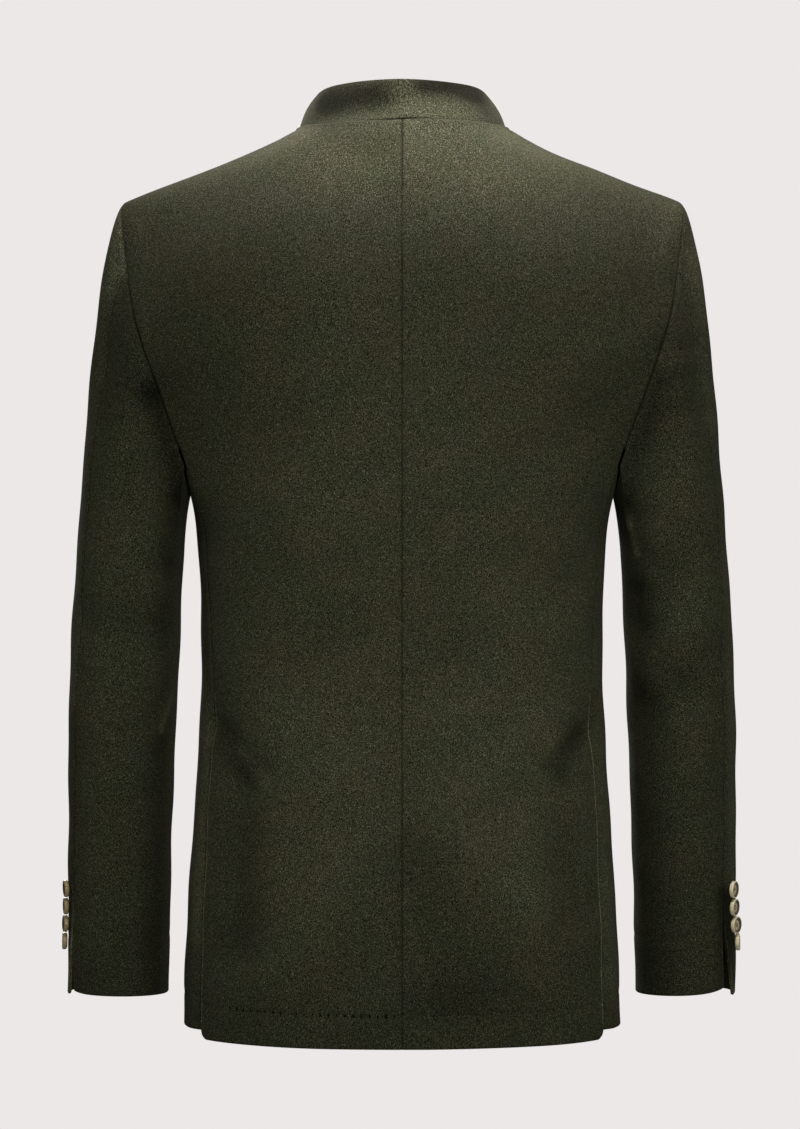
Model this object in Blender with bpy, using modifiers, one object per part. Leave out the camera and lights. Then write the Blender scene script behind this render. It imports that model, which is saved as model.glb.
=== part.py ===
"""Trachten jacket in loden cloth, filled out as worn, with no wearer.

Metres, +Z up. The back faces +Y and the wearer's left side is +X. The origin is the middle of the neck
base, level with the neck ends of the shoulder seams. Each cut piece is a wall of cloth lofted through
sections, and pieces that are sewn together stand a seam gap apart.
"""
import math
from collections import namedtuple

import bpy
import numpy as np
from mathutils import Vector
from mathutils.bvhtree import BVHTree

# Cloth and seams
WALL = 0.002
COLLAR_WALL = 0.003
SEAM_GAP = 0.0003
SHARP_FOLD = math.cos(math.radians(58.0))
SHARP_EDGE = math.radians(40.0)

# Roundness of the sections: 2 is an ellipse, more is squarer
TORSO_POWER = 2.4
YOKE_POWER = 2.2
SLEEVE_POWER = 2.2

# Neck and shoulder
NECK_HALF_WIDTH = 0.0825
NECK_POINT_Y = 0.008
NECK_BACK_Y = 0.085
NECK_BACK_Z = 0.002
NECK_FRONT_Y = -0.075
NECK_FRONT_Z = -0.072
SHOULDER_TIP = (0.2205, -0.006, -0.0565)
SHOULDER_HOLLOW = 0.0034
HOLLOW_PEAK = 4.0 / 27.0
TOP_STATION = 0.720
SHOULDER_STATION = 0.685
SHOULDER_SOFTENING = 8

# Stand collar: where its ends stop, and how far its top edge leans in and rises at three places
COLLAR_END_X = 0.006
Lean = namedtuple("Lean", "side forward rise")
COLLAR_LEAN_BACK = Lean(0.000, -0.009, 0.0318)
COLLAR_LEAN_SIDE = Lean(0.0160, -0.003, 0.0315)
COLLAR_LEAN_FRONT = Lean(0.000, 0.006, 0.0340)

# Front edge: left laps over right
OVERLAP = 0.020
OVERLAP_DROP = 0.0032
OVERLAP_EASE = 0.030
OVERLAP_CLEAR = 0.002
CORNER_DIP = 0.005

# Side vents: the back laps over a strip of the side panel
VENT_TOP = -0.455
VENT_LAP = 0.025
VENT_DROP = 0.0030
VENT_EASE = 0.050
VENT_STEP = 0.022
LAP_START = 0.020

# Torso sections from the hem up; a station is the distance up the centre back
Level = namedtuple("Level", "station height centre_drop half_width back_depth front_depth "
                            "back_seam_y front_seam_y")
LEVELS = (
    Level(0.000, -0.7200, 0.0027, 0.1744, 0.120, 0.124, 0.062, -0.045),
    Level(0.103, -0.6150, 0.0000, 0.1708, 0.121, 0.126, 0.060, -0.045),
    Level(0.183, -0.5350, 0.0000, 0.1655, 0.113, 0.123, 0.053, -0.045),
    Level(0.278, -0.4400, 0.0000, 0.1603, 0.100, 0.118, 0.045, -0.045),
    Level(0.358, -0.3600, 0.0000, 0.1613, 0.112, 0.124, 0.045, -0.045),
    Level(0.400, -0.3180, 0.0000, 0.1645, 0.119, 0.129, 0.046, -0.045),
)

# The sides and fronts end a little higher than the back
SIDE_HEM_RISE = 0.0065

# Rows above the underarm, from the centre line to the armhole
YokeRow = namedtuple("YokeRow", "station centre_y centre_z end_x end_y end_z")
BACK_YOKE = (
    YokeRow(0.440, 0.124, -0.278, 0.1715, 0.052, -0.270),
    YokeRow(0.545, 0.127, -0.172, 0.2075, 0.056, -0.166),
    YokeRow(0.630, 0.115, -0.088, 0.2185, 0.032, -0.112),
)
FRONT_YOKE = (
    YokeRow(0.440, -0.131, -0.278, 0.1695, -0.050, -0.266),
    YokeRow(0.545, -0.130, -0.190, 0.1880, -0.070, -0.175),
    YokeRow(0.630, -0.110, -0.130, 0.2070, -0.046, -0.110),
)
UNDERARM_STATION = BACK_YOKE[0].station
ARMHOLE_DIP = 0.023
ARMHOLE_HOLLOW = 0.002

# How the cloth leaves the neckline and the shoulder seam, as steps from that edge
Step = namedtuple("Step", "x y z")
BACK_STEPS = {"centre": Step(0.0, 0.015, -0.036), "neck": Step(0.022, 0.030, -0.021),
              "tip": Step(0.003, 0.022, -0.010)}
FRONT_STEPS = {"centre": Step(0.0, -0.019, -0.036), "neck": Step(0.022, -0.026, -0.024),
               "tip": Step(0.000, -0.021, -0.010)}

# Sleeve sections from the upper arm to the cuff
SleeveRing = namedtuple("SleeveRing", "height centre_x centre_y half_width half_depth")
SLEEVE_RINGS = (
    SleeveRing(-0.335, 0.2174, -0.004, 0.0426, 0.0680),
    SleeveRing(-0.440, 0.2226, -0.005, 0.0432, 0.0620),
    SleeveRing(-0.567, 0.2267, -0.020, 0.0416, 0.0550),
    SleeveRing(-0.692, 0.2288, -0.038, 0.0402, 0.0490),
)
BICEP = SLEEVE_RINGS[0].height
CUFF = SLEEVE_RINGS[-1].height
CAP_FULLNESS = 0.26

# How the sleeve leaves the armhole: outward, round and down, more or less so towards its top
CAP_OUT = 0.55
CAP_OUT_AT_TOP = 0.25
CAP_ROUND = 0.20
CAP_DOWN = 0.80
CAP_LEVEL_AT_TOP = 0.14
SLOPE_STEP = 0.001

# Cuff vent on the elbow seam. Towards the cuff each sleeve turns round the arm by a share of its girth, and the
# right vent gapes more; the under sleeve's corner rises at the vent
CUFF_VENT_TOP = -0.595
Cuff = namedtuple("Cuff", "turn upper_shift under_shift upper_lift corner_rise")
CUFFS = {"left": Cuff(-0.0330, 0.026, 0.004, 0.0020, 0.003),
         "right": Cuff(0.0215, 0.052, -0.012, 0.0035, 0.006)}

# Largest folds: soft ridges and, with a minus sign, troughs on the side that faces back or front
Fold = namedtuple("Fold", "facing start_x start_z end_x end_z width height")
FOLDS = (
    Fold(1, 0.146, -0.464, 0.120, -0.512, 0.020, -0.0030),
    Fold(1, -0.149, -0.472, -0.124, -0.506, 0.020, -0.0026),
    Fold(1, 0.132, -0.560, 0.130, -0.645, 0.022, -0.0024),
    Fold(1, -0.134, -0.575, -0.131, -0.660, 0.024, -0.0020),
    Fold(1, 0.008, -0.535, 0.103, -0.663, 0.024, 0.0022),
    Fold(1, -0.010, -0.535, -0.109, -0.627, 0.024, 0.0020),
    Fold(1, -0.040, -0.600, -0.042, -0.686, 0.034, -0.0022),
    Fold(1, 0.236, -0.188, 0.198, -0.212, 0.018, -0.0030),
    Fold(1, 0.243, -0.394, 0.190, -0.398, 0.018, -0.0032),
    Fold(1, -0.244, -0.186, -0.199, -0.246, 0.020, -0.0026),
    Fold(1, -0.226, -0.330, -0.186, -0.390, 0.020, -0.0030),
    Fold(1, -0.245, -0.428, -0.200, -0.462, 0.020, -0.0026),
    Fold(-1, 0.135, -0.470, 0.085, -0.500, 0.024, -0.0026),
    Fold(-1, -0.140, -0.455, -0.090, -0.492, 0.024, -0.0022),
    Fold(-1, 0.196, -0.400, 0.248, -0.428, 0.020, -0.0034),
    Fold(-1, -0.194, -0.388, -0.250, -0.415, 0.020, -0.0030),
)

FOLD_FACING_GAIN = 2.0

# Horn buttons; the half profile runs from the middle of the face over a raised rim to the middle of the back
Button = namedtuple("Button", "radius thickness")
ProfilePoint = namedtuple("ProfilePoint", "radius_share height_share")
BUTTON_PROFILE = (
    ProfilePoint(0.00, 0.68),
    ProfilePoint(0.56, 0.64),
    ProfilePoint(0.78, 1.00),
    ProfilePoint(0.94, 0.96),
    ProfilePoint(1.00, 0.82),
    ProfilePoint(1.00, 0.34),
    ProfilePoint(0.72, 0.00),
    ProfilePoint(0.00, 0.00),
)
CUFF_BUTTON = Button(0.0069, 0.0040)
FRONT_BUTTON = Button(0.0102, 0.0040)
BUTTON_LIFT = 0.0005
BUTTON_STEPS = 14
BUTTON_MERGE = 0.00005
SEARCH_REACH = 0.05
CUFF_BUTTON_COUNT = 4
CUFF_BUTTON_FIRST = -0.6065
CUFF_BUTTON_PITCH = 0.0143
CUFF_BUTTON_INSET = 0.041
CUFF_BUTTON_LEANS = {"left": (0.00, -0.04, 0.03, -0.05), "right": (0.00, 0.05, 0.20, -0.24)}
FRONT_BUTTON_COUNT = 5
FRONT_BUTTON_FIRST = -0.118
FRONT_BUTTON_PITCH = 0.100

# Mesh density
SAMPLES = 160
LAP_SAMPLES = 40
BACK_NECK_COLUMNS = 6
SHOULDER_COLUMNS = 6
FRONT_NECK_COLUMNS = 6
SIDE_COLUMNS = 6
LOWER_ROWS = 14
UPPER_ROWS = 9
COLLAR_ROWS = 3
CAP_ROWS = 6
ARM_ROWS = 8
CUFF_VENT_ROWS = 4
ELBOW_ROWS_BELOW_TIP = 3
FRONT_SEAM_ROWS_ABOVE_UNDERARM = 2

# Finishes
CLOTH_COLOUR = (0.030, 0.031, 0.018, 1.0)
CLOTH_ROUGHNESS = 0.92
HORN_COLOUR = (0.45, 0.34, 0.20, 1.0)
HORN_ROUGHNESS = 0.35

Sheet = namedtuple("Sheet", "name grid mirrored wall")


def ease(value):
    """Smooth step from 0 to 1."""
    value = np.clip(value, 0.0, 1.0)
    return value * value * (3.0 - 2.0 * value)


def lengths_along(points):
    """Distance along a row of points, from its start."""
    return np.concatenate([[0.0], np.cumsum(np.linalg.norm(np.diff(points, axis=0), axis=1))])


def resample(points, fractions):
    """Points at the given shares of a row's length."""
    distance = lengths_along(points)
    places = np.asarray(fractions) * distance[-1]
    return np.stack([np.interp(places, distance, points[:, axis]) for axis in range(3)], axis=1)


def spline(stations, keys, samples):
    """Smooth curve through key rows, read at the sample stations."""
    stations = np.asarray(stations, float)
    keys = np.asarray(keys, float)
    samples = np.asarray(samples, float)
    shape = (-1,) + (1,) * (keys.ndim - 1)
    step = np.diff(stations).reshape(shape)
    secant = np.diff(keys, axis=0) / step
    slope = np.empty_like(keys)
    slope[1:-1] = (step[1:] * secant[:-1] + step[:-1] * secant[1:]) / (step[1:] + step[:-1])
    slope[0] = 2.0 * secant[0] - slope[1]
    slope[-1] = 2.0 * secant[-1] - slope[-2]
    index = np.clip(np.searchsorted(stations, samples, side="right") - 1, 0, len(stations) - 2)
    width = step[index]
    t = ((samples - stations[index]).reshape(shape)) / width
    return hermite(keys[index], slope[index] * width, keys[index + 1], slope[index + 1] * width, t)


def hermite(start, start_slope, end, end_slope, t):
    """Cubic from start to end that leaves and arrives along the given slopes."""
    square = t * t
    cube = square * t
    return ((2.0 * cube - 3.0 * square + 1.0) * start + (cube - 2.0 * square + t) * start_slope
            + (3.0 * square - 2.0 * cube) * end + (cube - square) * end_slope)


def angle_at(y, depth):
    """Angle from the centre back at which a torso section reaches y."""
    return math.acos(math.copysign((abs(y) / depth) ** (TORSO_POWER / 2.0), y))


def section_arc(half_width, back_depth, front_depth, start, end, height):
    """Stretch of a torso section between two angles from the centre back."""
    angle = np.linspace(start, end, SAMPLES)
    sine = np.sin(angle)
    cosine = np.cos(angle)
    depth = np.where(cosine > 0.0, back_depth, front_depth)
    x = half_width * np.sign(sine) * np.abs(sine) ** (2.0 / TORSO_POWER)
    y = depth * np.sign(cosine) * np.abs(cosine) ** (2.0 / TORSO_POWER)
    x[np.isclose(sine, 0.0)] = 0.0
    return np.stack([x, y, np.full(SAMPLES, height)], axis=1)


def front_angle(x, half_width):
    """Angle from the centre back at which a torso section reaches x beside the centre front."""
    return math.pi - math.asin((x / half_width) ** (TORSO_POWER / 2.0))


def yoke_curve(yoke, x):
    """Points of a row above the underarm at the given distances from the centre line."""
    share = x / yoke.end_x
    y = yoke.centre_y + (yoke.end_y - yoke.centre_y) * share ** YOKE_POWER
    z = yoke.centre_z + (yoke.end_z - yoke.centre_z) * share ** 2
    return np.stack([x, y, z], axis=1)


def shoulder_seam():
    """Shoulder seam from the neck point to the tip, hollow near the neck."""
    t = np.linspace(0.0, 1.0, SHOULDER_COLUMNS + 1)
    neck = np.array([NECK_HALF_WIDTH, NECK_POINT_Y, 0.0])
    seam = neck + t[:, None] * (np.array(SHOULDER_TIP) - neck)
    seam[:, 2] -= SHOULDER_HOLLOW / HOLLOW_PEAK * t * (1.0 - t) ** 2
    return seam


def back_top_row():
    """Back neckline from the centre to the neck point, then the shoulder seam."""
    angle = np.linspace(0.0, math.pi / 2.0, SAMPLES)
    neckline = np.stack([NECK_HALF_WIDTH * np.sin(angle),
                         NECK_POINT_Y + (NECK_BACK_Y - NECK_POINT_Y) * np.cos(angle),
                         NECK_BACK_Z * np.cos(angle)], axis=1)
    neckline = resample(neckline, np.linspace(0.0, 1.0, BACK_NECK_COLUMNS + 1))
    return np.vstack([neckline[:-1], shoulder_seam()])


def front_neckline(start, end):
    """Front neckline between two angles from the neck point."""
    angle = np.linspace(start, end, SAMPLES)
    return np.stack([NECK_HALF_WIDTH * np.cos(angle),
                     NECK_POINT_Y + (NECK_FRONT_Y - NECK_POINT_Y) * np.sin(angle),
                     NECK_FRONT_Z * np.sin(angle)], axis=1)


def front_top_row():
    """Shoulder seam from the tip, then the front neckline to the lap line and the collar's end."""
    lap = math.acos(OVERLAP / NECK_HALF_WIDTH)
    collar_end = math.acos(COLLAR_END_X / NECK_HALF_WIDTH)
    neckline = resample(front_neckline(0.0, lap), np.linspace(0.0, 1.0, FRONT_NECK_COLUMNS))
    return np.vstack([shoulder_seam()[::-1][:-1], neckline, front_neckline(lap, collar_end)[-1]])


def stepped_row(top_row, steps, neck_column, names):
    """Row a short step down the cloth from the neckline and shoulder seam, with their corner softened."""
    share = lengths_along(top_row) / lengths_along(top_row)[-1]
    places = [0.0, share[neck_column], 1.0]
    row = top_row + spline(places, [steps[name] for name in names], share)
    for _ in range(SHOULDER_SOFTENING):
        row[1:-1] = (row[:-2] + 2.0 * row[1:-1] + row[2:]) / 4.0
    return row


def back_rows():
    """Key rows of the left back from the hem to the top, as dense rows, with their stations."""
    stations = []
    rows = []
    for level in LEVELS:
        end = angle_at(level.back_seam_y, level.back_depth)
        row = section_arc(level.half_width, level.back_depth, level.front_depth, 0.0, end, level.height)
        share = lengths_along(row) / lengths_along(row)[-1]
        row[:, 2] -= level.centre_drop * (1.0 - share ** 2)
        stations.append(level.station)
        rows.append(row)
    for yoke in BACK_YOKE:
        stations.append(yoke.station)
        rows.append(yoke_curve(yoke, np.linspace(0.0, yoke.end_x, SAMPLES)))
    return stations, rows


def front_rows():
    """Key rows of the left front from the hem to the top, from the side seam to the collar's end."""
    stations = []
    rows = []
    for level in LEVELS:
        start = angle_at(level.front_seam_y, level.front_depth)
        end = front_angle(COLLAR_END_X, level.half_width)
        stations.append(level.station)
        rows.append(section_arc(level.half_width, level.back_depth, level.front_depth,
                                start, end, level.height))
    rows[0][:, 2] += SIDE_HEM_RISE
    for yoke in FRONT_YOKE:
        stations.append(yoke.station)
        rows.append(yoke_curve(yoke, np.linspace(yoke.end_x, COLLAR_END_X, SAMPLES)))
    return stations, rows


def with_front_lap(grid):
    """Front with its lap: the last columns, set upright, are mirrored past the centre.

    The lap's top corner lies a little lower than the neckline.
    """
    rows = grid.copy()
    for column, x in ((-2, OVERLAP), (-1, COLLAR_END_X)):
        for place, row in zip(grid[:, column], rows):
            inward = row[::-1]
            place[:] = [np.interp(x, inward[:, 0], inward[:, axis]) for axis in range(3)]
    lap = grid[:, [-1, -2]] * np.array([-1.0, 1.0, 1.0])
    down = lap[-2] - lap[-1]
    down = down / np.linalg.norm(down, axis=1, keepdims=True)
    lap[-1] += down * np.array([[CORNER_DIP / 2.0], [CORNER_DIP]])
    return np.concatenate([grid, lap], axis=1)


def row_stations():
    """Stations of the mesh rows, with one exactly at the underarm."""
    lower = np.linspace(0.0, UNDERARM_STATION, LOWER_ROWS + 1)
    upper = np.linspace(UNDERARM_STATION, TOP_STATION, UPPER_ROWS + 1)
    return lower, np.concatenate([lower, upper[1:]])


def panel_grid(stations, rows, top_row, stepped):
    """Grid of points of a back or a front, from its key rows and its top edge."""
    share = lengths_along(top_row) / lengths_along(top_row)[-1]
    keys = [resample(row, share) for row in rows] + [stepped, top_row]
    return spline(stations + [SHOULDER_STATION, TOP_STATION], keys, row_stations()[1])


def armhole_bottom():
    """Bottom of the armhole, from the back seam under the arm to the front seam."""
    t = np.linspace(0.0, 1.0, SAMPLES)
    back = BACK_YOKE[0]
    front = FRONT_YOKE[0]
    start = np.array([back.end_x, back.end_y, back.end_z])
    end = np.array([front.end_x, front.end_y, front.end_z])
    curve = start + t[:, None] * (end - start)
    curve[:, 0] -= ARMHOLE_HOLLOW * np.sin(math.pi * t)
    curve[:, 2] -= ARMHOLE_DIP * np.sin(math.pi * t)
    return curve


def lap_width(height):
    """Width of the vent's underlap at a height."""
    return VENT_LAP * ease((VENT_TOP - LAP_START - height) / VENT_EASE)


def side_grid(back_stations, back_key_rows):
    """Grid of the side panel, and how deep each point drops under the back's vent edge."""
    keys = []
    for level, back_row in zip(LEVELS, back_key_rows):
        start = angle_at(level.back_seam_y, level.back_depth)
        end = angle_at(level.front_seam_y, level.front_depth)
        arc = section_arc(level.half_width, level.back_depth, level.front_depth, start, end, level.height)
        keys.append((back_row, arc))
    keys.append((back_key_rows[len(LEVELS)], armhole_bottom()))
    rows = []
    for back_row, arc in keys:
        back_length = lengths_along(back_row)[-1]
        under = resample(back_row, np.linspace(1.0 - VENT_LAP / back_length, 1.0, LAP_SAMPLES + 1))
        rows.append(np.vstack([under[:-1], resample(arc, np.linspace(0.0, 1.0, SAMPLES))]))
    rows[0][:, 2] = LEVELS[0].height + SIDE_HEM_RISE
    dense = spline(back_stations[:len(rows)], rows, row_stations()[0])
    grid = []
    drop = []
    for row in dense:
        distance = lengths_along(row) - lengths_along(row)[LAP_SAMPLES]
        seam_height = row[LAP_SAMPLES, 2]
        places = np.linspace(-lap_width(seam_height), distance[-1], SIDE_COLUMNS + 1)
        grid.append(np.stack([np.interp(places, distance, row[:, axis]) for axis in range(3)], axis=1))
        depth = VENT_DROP * ease((VENT_TOP + LAP_START - seam_height) / VENT_EASE)
        drop.append(depth * (1.0 - ease(places / VENT_STEP)))
    return np.array(grid), np.array(drop)


def sleeve_sizes(heights):
    """Centre and half sizes of the sleeve's sections at the given heights."""
    stations = [-ring.height for ring in SLEEVE_RINGS]
    return spline(stations, [ring[1:] for ring in SLEEVE_RINGS], -np.asarray(heights))


def sleeve_ring(height, fractions):
    """Points of the left sleeve's section at a height; share 0 is its outer side, 0.25 its back."""
    centre_x, centre_y, half_width, half_depth = sleeve_sizes([height])[0]
    angle = np.linspace(0.0, 2.0 * math.pi, SAMPLES + 1)
    sine = np.sin(angle)
    cosine = np.cos(angle)
    x = centre_x + half_width * np.sign(cosine) * np.abs(cosine) ** (2.0 / SLEEVE_POWER)
    y = centre_y + half_depth * np.sign(sine) * np.abs(sine) ** (2.0 / SLEEVE_POWER)
    ring = np.stack([x, y, np.full(SAMPLES + 1, height)], axis=1)
    return resample(ring, np.mod(fractions, 1.0))


def vent_opening(height):
    """How far the cuff vent is open at a height, from 0 at its top to 1 at the cuff's edge, widening downwards."""
    return max(0.0, (CUFF_VENT_TOP - height) / (CUFF_VENT_TOP - CUFF)) ** 2


def turn_at(height):
    """Share of the sleeve's turn reached at a height, from 0 at the upper arm to 1 at the cuff's edge."""
    return max(0.0, (BICEP - height) / (BICEP - CUFF))


def sleeve_grid(armhole, fractions, vent_end, turn, vent_shift, vent_lift, corner_rise):
    """Grid of one sleeve piece from its stretch of the armhole down to the cuff."""
    bicep_ring = sleeve_ring(BICEP, fractions)
    down = (sleeve_ring(BICEP - SLOPE_STEP, fractions) - bicep_ring) / SLOPE_STEP
    centre = (np.array(SHOULDER_TIP)[1:] + armhole_bottom()[SAMPLES // 2][1:]) / 2.0
    radial = armhole[:, 1:] - centre
    radial = radial / np.linalg.norm(radial, axis=1)[:, None]
    leave = np.stack([CAP_OUT + CAP_OUT_AT_TOP * radial[:, 1], CAP_ROUND * radial[:, 0],
                      CAP_LEVEL_AT_TOP * radial[:, 1] - CAP_DOWN], axis=1)
    leave = leave / np.linalg.norm(leave, axis=1)[:, None]
    chord = np.linalg.norm(bicep_ring - armhole, axis=1)[:, None]
    rows = []
    for t in np.linspace(0.0, 1.0, CAP_ROWS + 1)[:-1]:
        rows.append(hermite(armhole, leave * chord * CAP_FULLNESS, bicep_ring, down * chord, t))
    heights = np.concatenate([np.linspace(BICEP, CUFF_VENT_TOP, ARM_ROWS + 1),
                              np.linspace(CUFF_VENT_TOP, CUFF, CUFF_VENT_ROWS + 1)[1:]])
    far_end = fractions[0] if vent_end == fractions[-1] else fractions[-1]
    nearness = ((fractions - far_end) / (vent_end - far_end)) ** 3
    for height in heights:
        opening = vent_opening(height)
        ring = sleeve_ring(height, fractions + turn * turn_at(height) + vent_shift * opening * nearness)
        outward = ring - np.append(sleeve_sizes([height])[0][:2], height)
        outward = outward / np.linalg.norm(outward, axis=1)[:, None]
        row = ring + outward * (vent_lift * opening * nearness ** 3)[:, None]
        row[:, 2] += corner_rise * opening * nearness ** 3
        rows.append(row)
    return np.array(rows)


def armhole_ring(back, side, front):
    """Armhole from the shoulder tip down the back, under the arm and up the front to the tip."""
    back_edge = back[LOWER_ROWS:, -1][::-1]
    front_edge = front[LOWER_ROWS:, 0]
    return np.vstack([back_edge, side[-1, 1:-1], front_edge])


def collar_grid(back, front):
    """Grid of the collar, standing on both necklines from the right front end to the left one."""
    back_edge = back[-1, :BACK_NECK_COLUMNS + 1]
    front_edge = front[-1, SHOULDER_COLUMNS:SHOULDER_COLUMNS + FRONT_NECK_COLUMNS + 1]
    half = np.vstack([back_edge, front_edge[1:]])
    columns = np.arange(len(half))
    places = [0, BACK_NECK_COLUMNS, len(half) - 1]
    leans = (COLLAR_LEAN_BACK, COLLAR_LEAN_SIDE, COLLAR_LEAN_FRONT)
    inward = spline(places, [lean.side for lean in leans], columns)
    forward = spline(places, [lean.forward for lean in leans], columns)
    rise = spline(places, [lean.rise for lean in leans], columns)
    lean = np.stack([-inward, forward, rise], axis=1)
    left = half + np.linspace(0.0, 1.0, COLLAR_ROWS + 1)[:, None, None] * lean
    right = left[:, :0:-1] * np.array([-1.0, 1.0, 1.0])
    return np.concatenate([right, left], axis=1)


def cut_pieces():
    """Outer faces of every cloth piece, with the drop of the pieces that lie under another."""
    back_stations, back_key_rows = back_rows()
    front_stations, front_key_rows = front_rows()
    top = back_top_row()
    back = panel_grid(back_stations, back_key_rows, top,
                      stepped_row(top, BACK_STEPS, BACK_NECK_COLUMNS, ("centre", "neck", "tip")))
    top = front_top_row()
    front = panel_grid(front_stations, front_key_rows, top,
                       stepped_row(top, FRONT_STEPS, SHOULDER_COLUMNS, ("tip", "neck", "centre")))
    front = with_front_lap(front)
    side, side_drop = side_grid(back_stations, back_key_rows)
    sewn = side_drop[:, 0] == 0.0
    side[sewn, 0] = back[:LOWER_ROWS + 1][sewn, -1]
    side[-1, 0] = back[LOWER_ROWS, -1]
    front[:LOWER_ROWS + 1, 0] = side[:, -1]

    ring = armhole_ring(back, side, front)
    share = lengths_along(ring) / lengths_along(ring)[-1]
    elbow = ELBOW_ROWS_BELOW_TIP
    front_seam = len(ring) - 1 - UPPER_ROWS + FRONT_SEAM_ROWS_ABOVE_UNDERARM
    under_ring = ring[elbow:front_seam + 1]
    under_share = share[elbow:front_seam + 1]
    upper_ring = np.vstack([ring[front_seam:], ring[1:elbow + 1]])
    upper_share = np.concatenate([share[front_seam:], 1.0 + share[1:elbow + 1]])

    front_drop = OVERLAP_DROP * (1.0 - ease((front[:, :, 0] - OVERLAP - OVERLAP_CLEAR) / OVERLAP_EASE))
    sheets = [Sheet("collar", collar_grid(back, front), False, COLLAR_WALL)]
    drops = {"side_left": side_drop, "side_right": side_drop, "front_right": front_drop}
    mirror = np.array([-1.0, 1.0, 1.0])
    for name, grid in {"back": back, "side": side, "front": front}.items():
        sheets.append(Sheet(name + "_left", grid, False, WALL))
        sheets.append(Sheet(name + "_right", grid * mirror, True, WALL))
    for side_name, cuff in CUFFS.items():
        upper = sleeve_grid(upper_ring, upper_share, upper_share[-1], cuff.turn, -cuff.upper_shift,
                            cuff.upper_lift, 0.0)
        under = sleeve_grid(under_ring, under_share, under_share[0], cuff.turn, cuff.under_shift,
                            0.0, cuff.corner_rise)
        mirrored = side_name == "right"
        for name, grid in {"upper_sleeve_": upper, "under_sleeve_": under}.items():
            sheets.append(Sheet(name + side_name, grid * mirror if mirrored else grid, mirrored, WALL))
    return sheets, drops, share[elbow]


def grid_normals(sheet):
    """Outward unit normals of a piece's outer face."""
    along_row = np.gradient(sheet.grid, axis=1)
    up_column = np.gradient(sheet.grid, axis=0)
    normal = np.cross(along_row, up_column) * (1.0 if sheet.mirrored else -1.0)
    return normal / np.linalg.norm(normal, axis=2, keepdims=True)


def point_key(point):
    """Key that sewn-together points of two pieces share."""
    return tuple(np.round(point, 6) + 0.0)


def sewn_normals(sheets):
    """Normals of every piece, averaged where pieces are sewn together flatter than the fold limit.

    Also returns, for each piece, which points lie on a sharper fold, such as the seam under the arm.
    """
    groups = {}
    members = {}
    for sheet in sheets:
        for place, normal in zip(sheet.grid.reshape(-1, 3), grid_normals(sheet).reshape(-1, 3)):
            key = point_key(place)
            found = groups.setdefault(key, [])
            for number, total in enumerate(found):
                if total @ normal > SHARP_FOLD * np.linalg.norm(total):
                    found[number] = total + normal
                    break
            else:
                number = len(found)
                found.append(normal)
            members.setdefault(sheet.name, []).append((key, number))
    shared = {}
    folded = {}
    for sheet in sheets:
        normal = np.array([groups[key][number] for key, number in members[sheet.name]])
        normal = normal / np.linalg.norm(normal, axis=1, keepdims=True)
        shared[sheet.name] = normal.reshape(sheet.grid.shape)
        split = np.array([len(groups[key]) > 1 for key, number in members[sheet.name]])
        folded[sheet.name] = split.reshape(sheet.grid.shape[:2])
    return shared, folded


def fold_heights(grid, normal):
    """Height of the folds at each point of a piece."""
    place = grid[:, :, [0, 2]]
    height = np.zeros(grid.shape[:2])
    for fold in FOLDS:
        start = np.array([fold.start_x, fold.start_z])
        run = np.array([fold.end_x, fold.end_z]) - start
        t = np.clip((place - start) @ run / (run @ run), 0.0, 1.0)
        distance = np.linalg.norm(place - start - t[:, :, None] * run, axis=2)
        facing = ease(FOLD_FACING_GAIN * fold.facing * normal[:, :, 1])
        height += fold.height * np.exp(-(distance / fold.width) ** 2) * facing
    return height


def seam_shift(grid, normal):
    """Small move of the edge points into the piece, half a seam gap each."""
    shift = np.zeros_like(grid)
    edges = (((0, slice(None)), (1, slice(None))), ((-1, slice(None)), (-2, slice(None))),
             ((slice(None), 0), (slice(None), 1)), ((slice(None), -1), (slice(None), -2)))
    for edge, inner in edges:
        across = np.cross(np.gradient(grid[edge], axis=0), normal[edge])
        across = across / np.linalg.norm(across, axis=1, keepdims=True)
        inward = np.sign(np.sum(across * (grid[inner] - grid[edge]), axis=1))
        shift[edge] += across * inward[:, None] * SEAM_GAP / 2.0
    return shift


def wall_mesh(name, grid, outer, inner, mirrored):
    """Closed wall between an outer and an inner grid; sewn edges are split the same way on both pieces."""
    rows, columns = outer.shape[:2]
    keys = [point_key(point) for point in grid.reshape(-1, 3)]
    index = np.arange(rows * columns).reshape(rows, columns)
    behind = rows * columns
    faces = []
    for row in range(rows - 1):
        for column in range(columns - 1):
            a, b = index[row, column], index[row + 1, column]
            c, d = index[row + 1, column + 1], index[row, column + 1]
            faces += [(a, b, c), (a, c, d)]
            faces += [(c + behind, b + behind, a + behind), (d + behind, c + behind, a + behind)]
    rim = list(index[:-1, 0]) + list(index[-1, :-1]) + list(index[:0:-1, -1]) + list(index[0, :0:-1])
    for a, b in zip(rim, rim[1:] + rim[:1]):
        if keys[a] < keys[b]:
            faces += [(b, a, a + behind), (b, a + behind, b + behind)]
        else:
            faces += [(b, a, b + behind), (a, a + behind, b + behind)]
    if mirrored:
        faces = [face[::-1] for face in faces]
    points = np.vstack([outer.reshape(-1, 3), inner.reshape(-1, 3)])
    mesh = bpy.data.meshes.new(name)
    mesh.from_pydata(points.tolist(), [], [tuple(int(i) for i in face) for face in faces])
    mesh.shade_smooth()
    mesh.set_sharp_from_angle(angle=SHARP_EDGE)
    return mesh


def finish(name, colour, roughness):
    """Plain Principled finish."""
    material = bpy.data.materials.new(name)
    material.use_nodes = True
    shader = material.node_tree.nodes["Principled BSDF"]
    shader.inputs["Base Color"].default_value = colour
    shader.inputs["Roughness"].default_value = roughness
    shader.inputs["Metallic"].default_value = 0.0
    material.diffuse_color = colour
    return material


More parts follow.
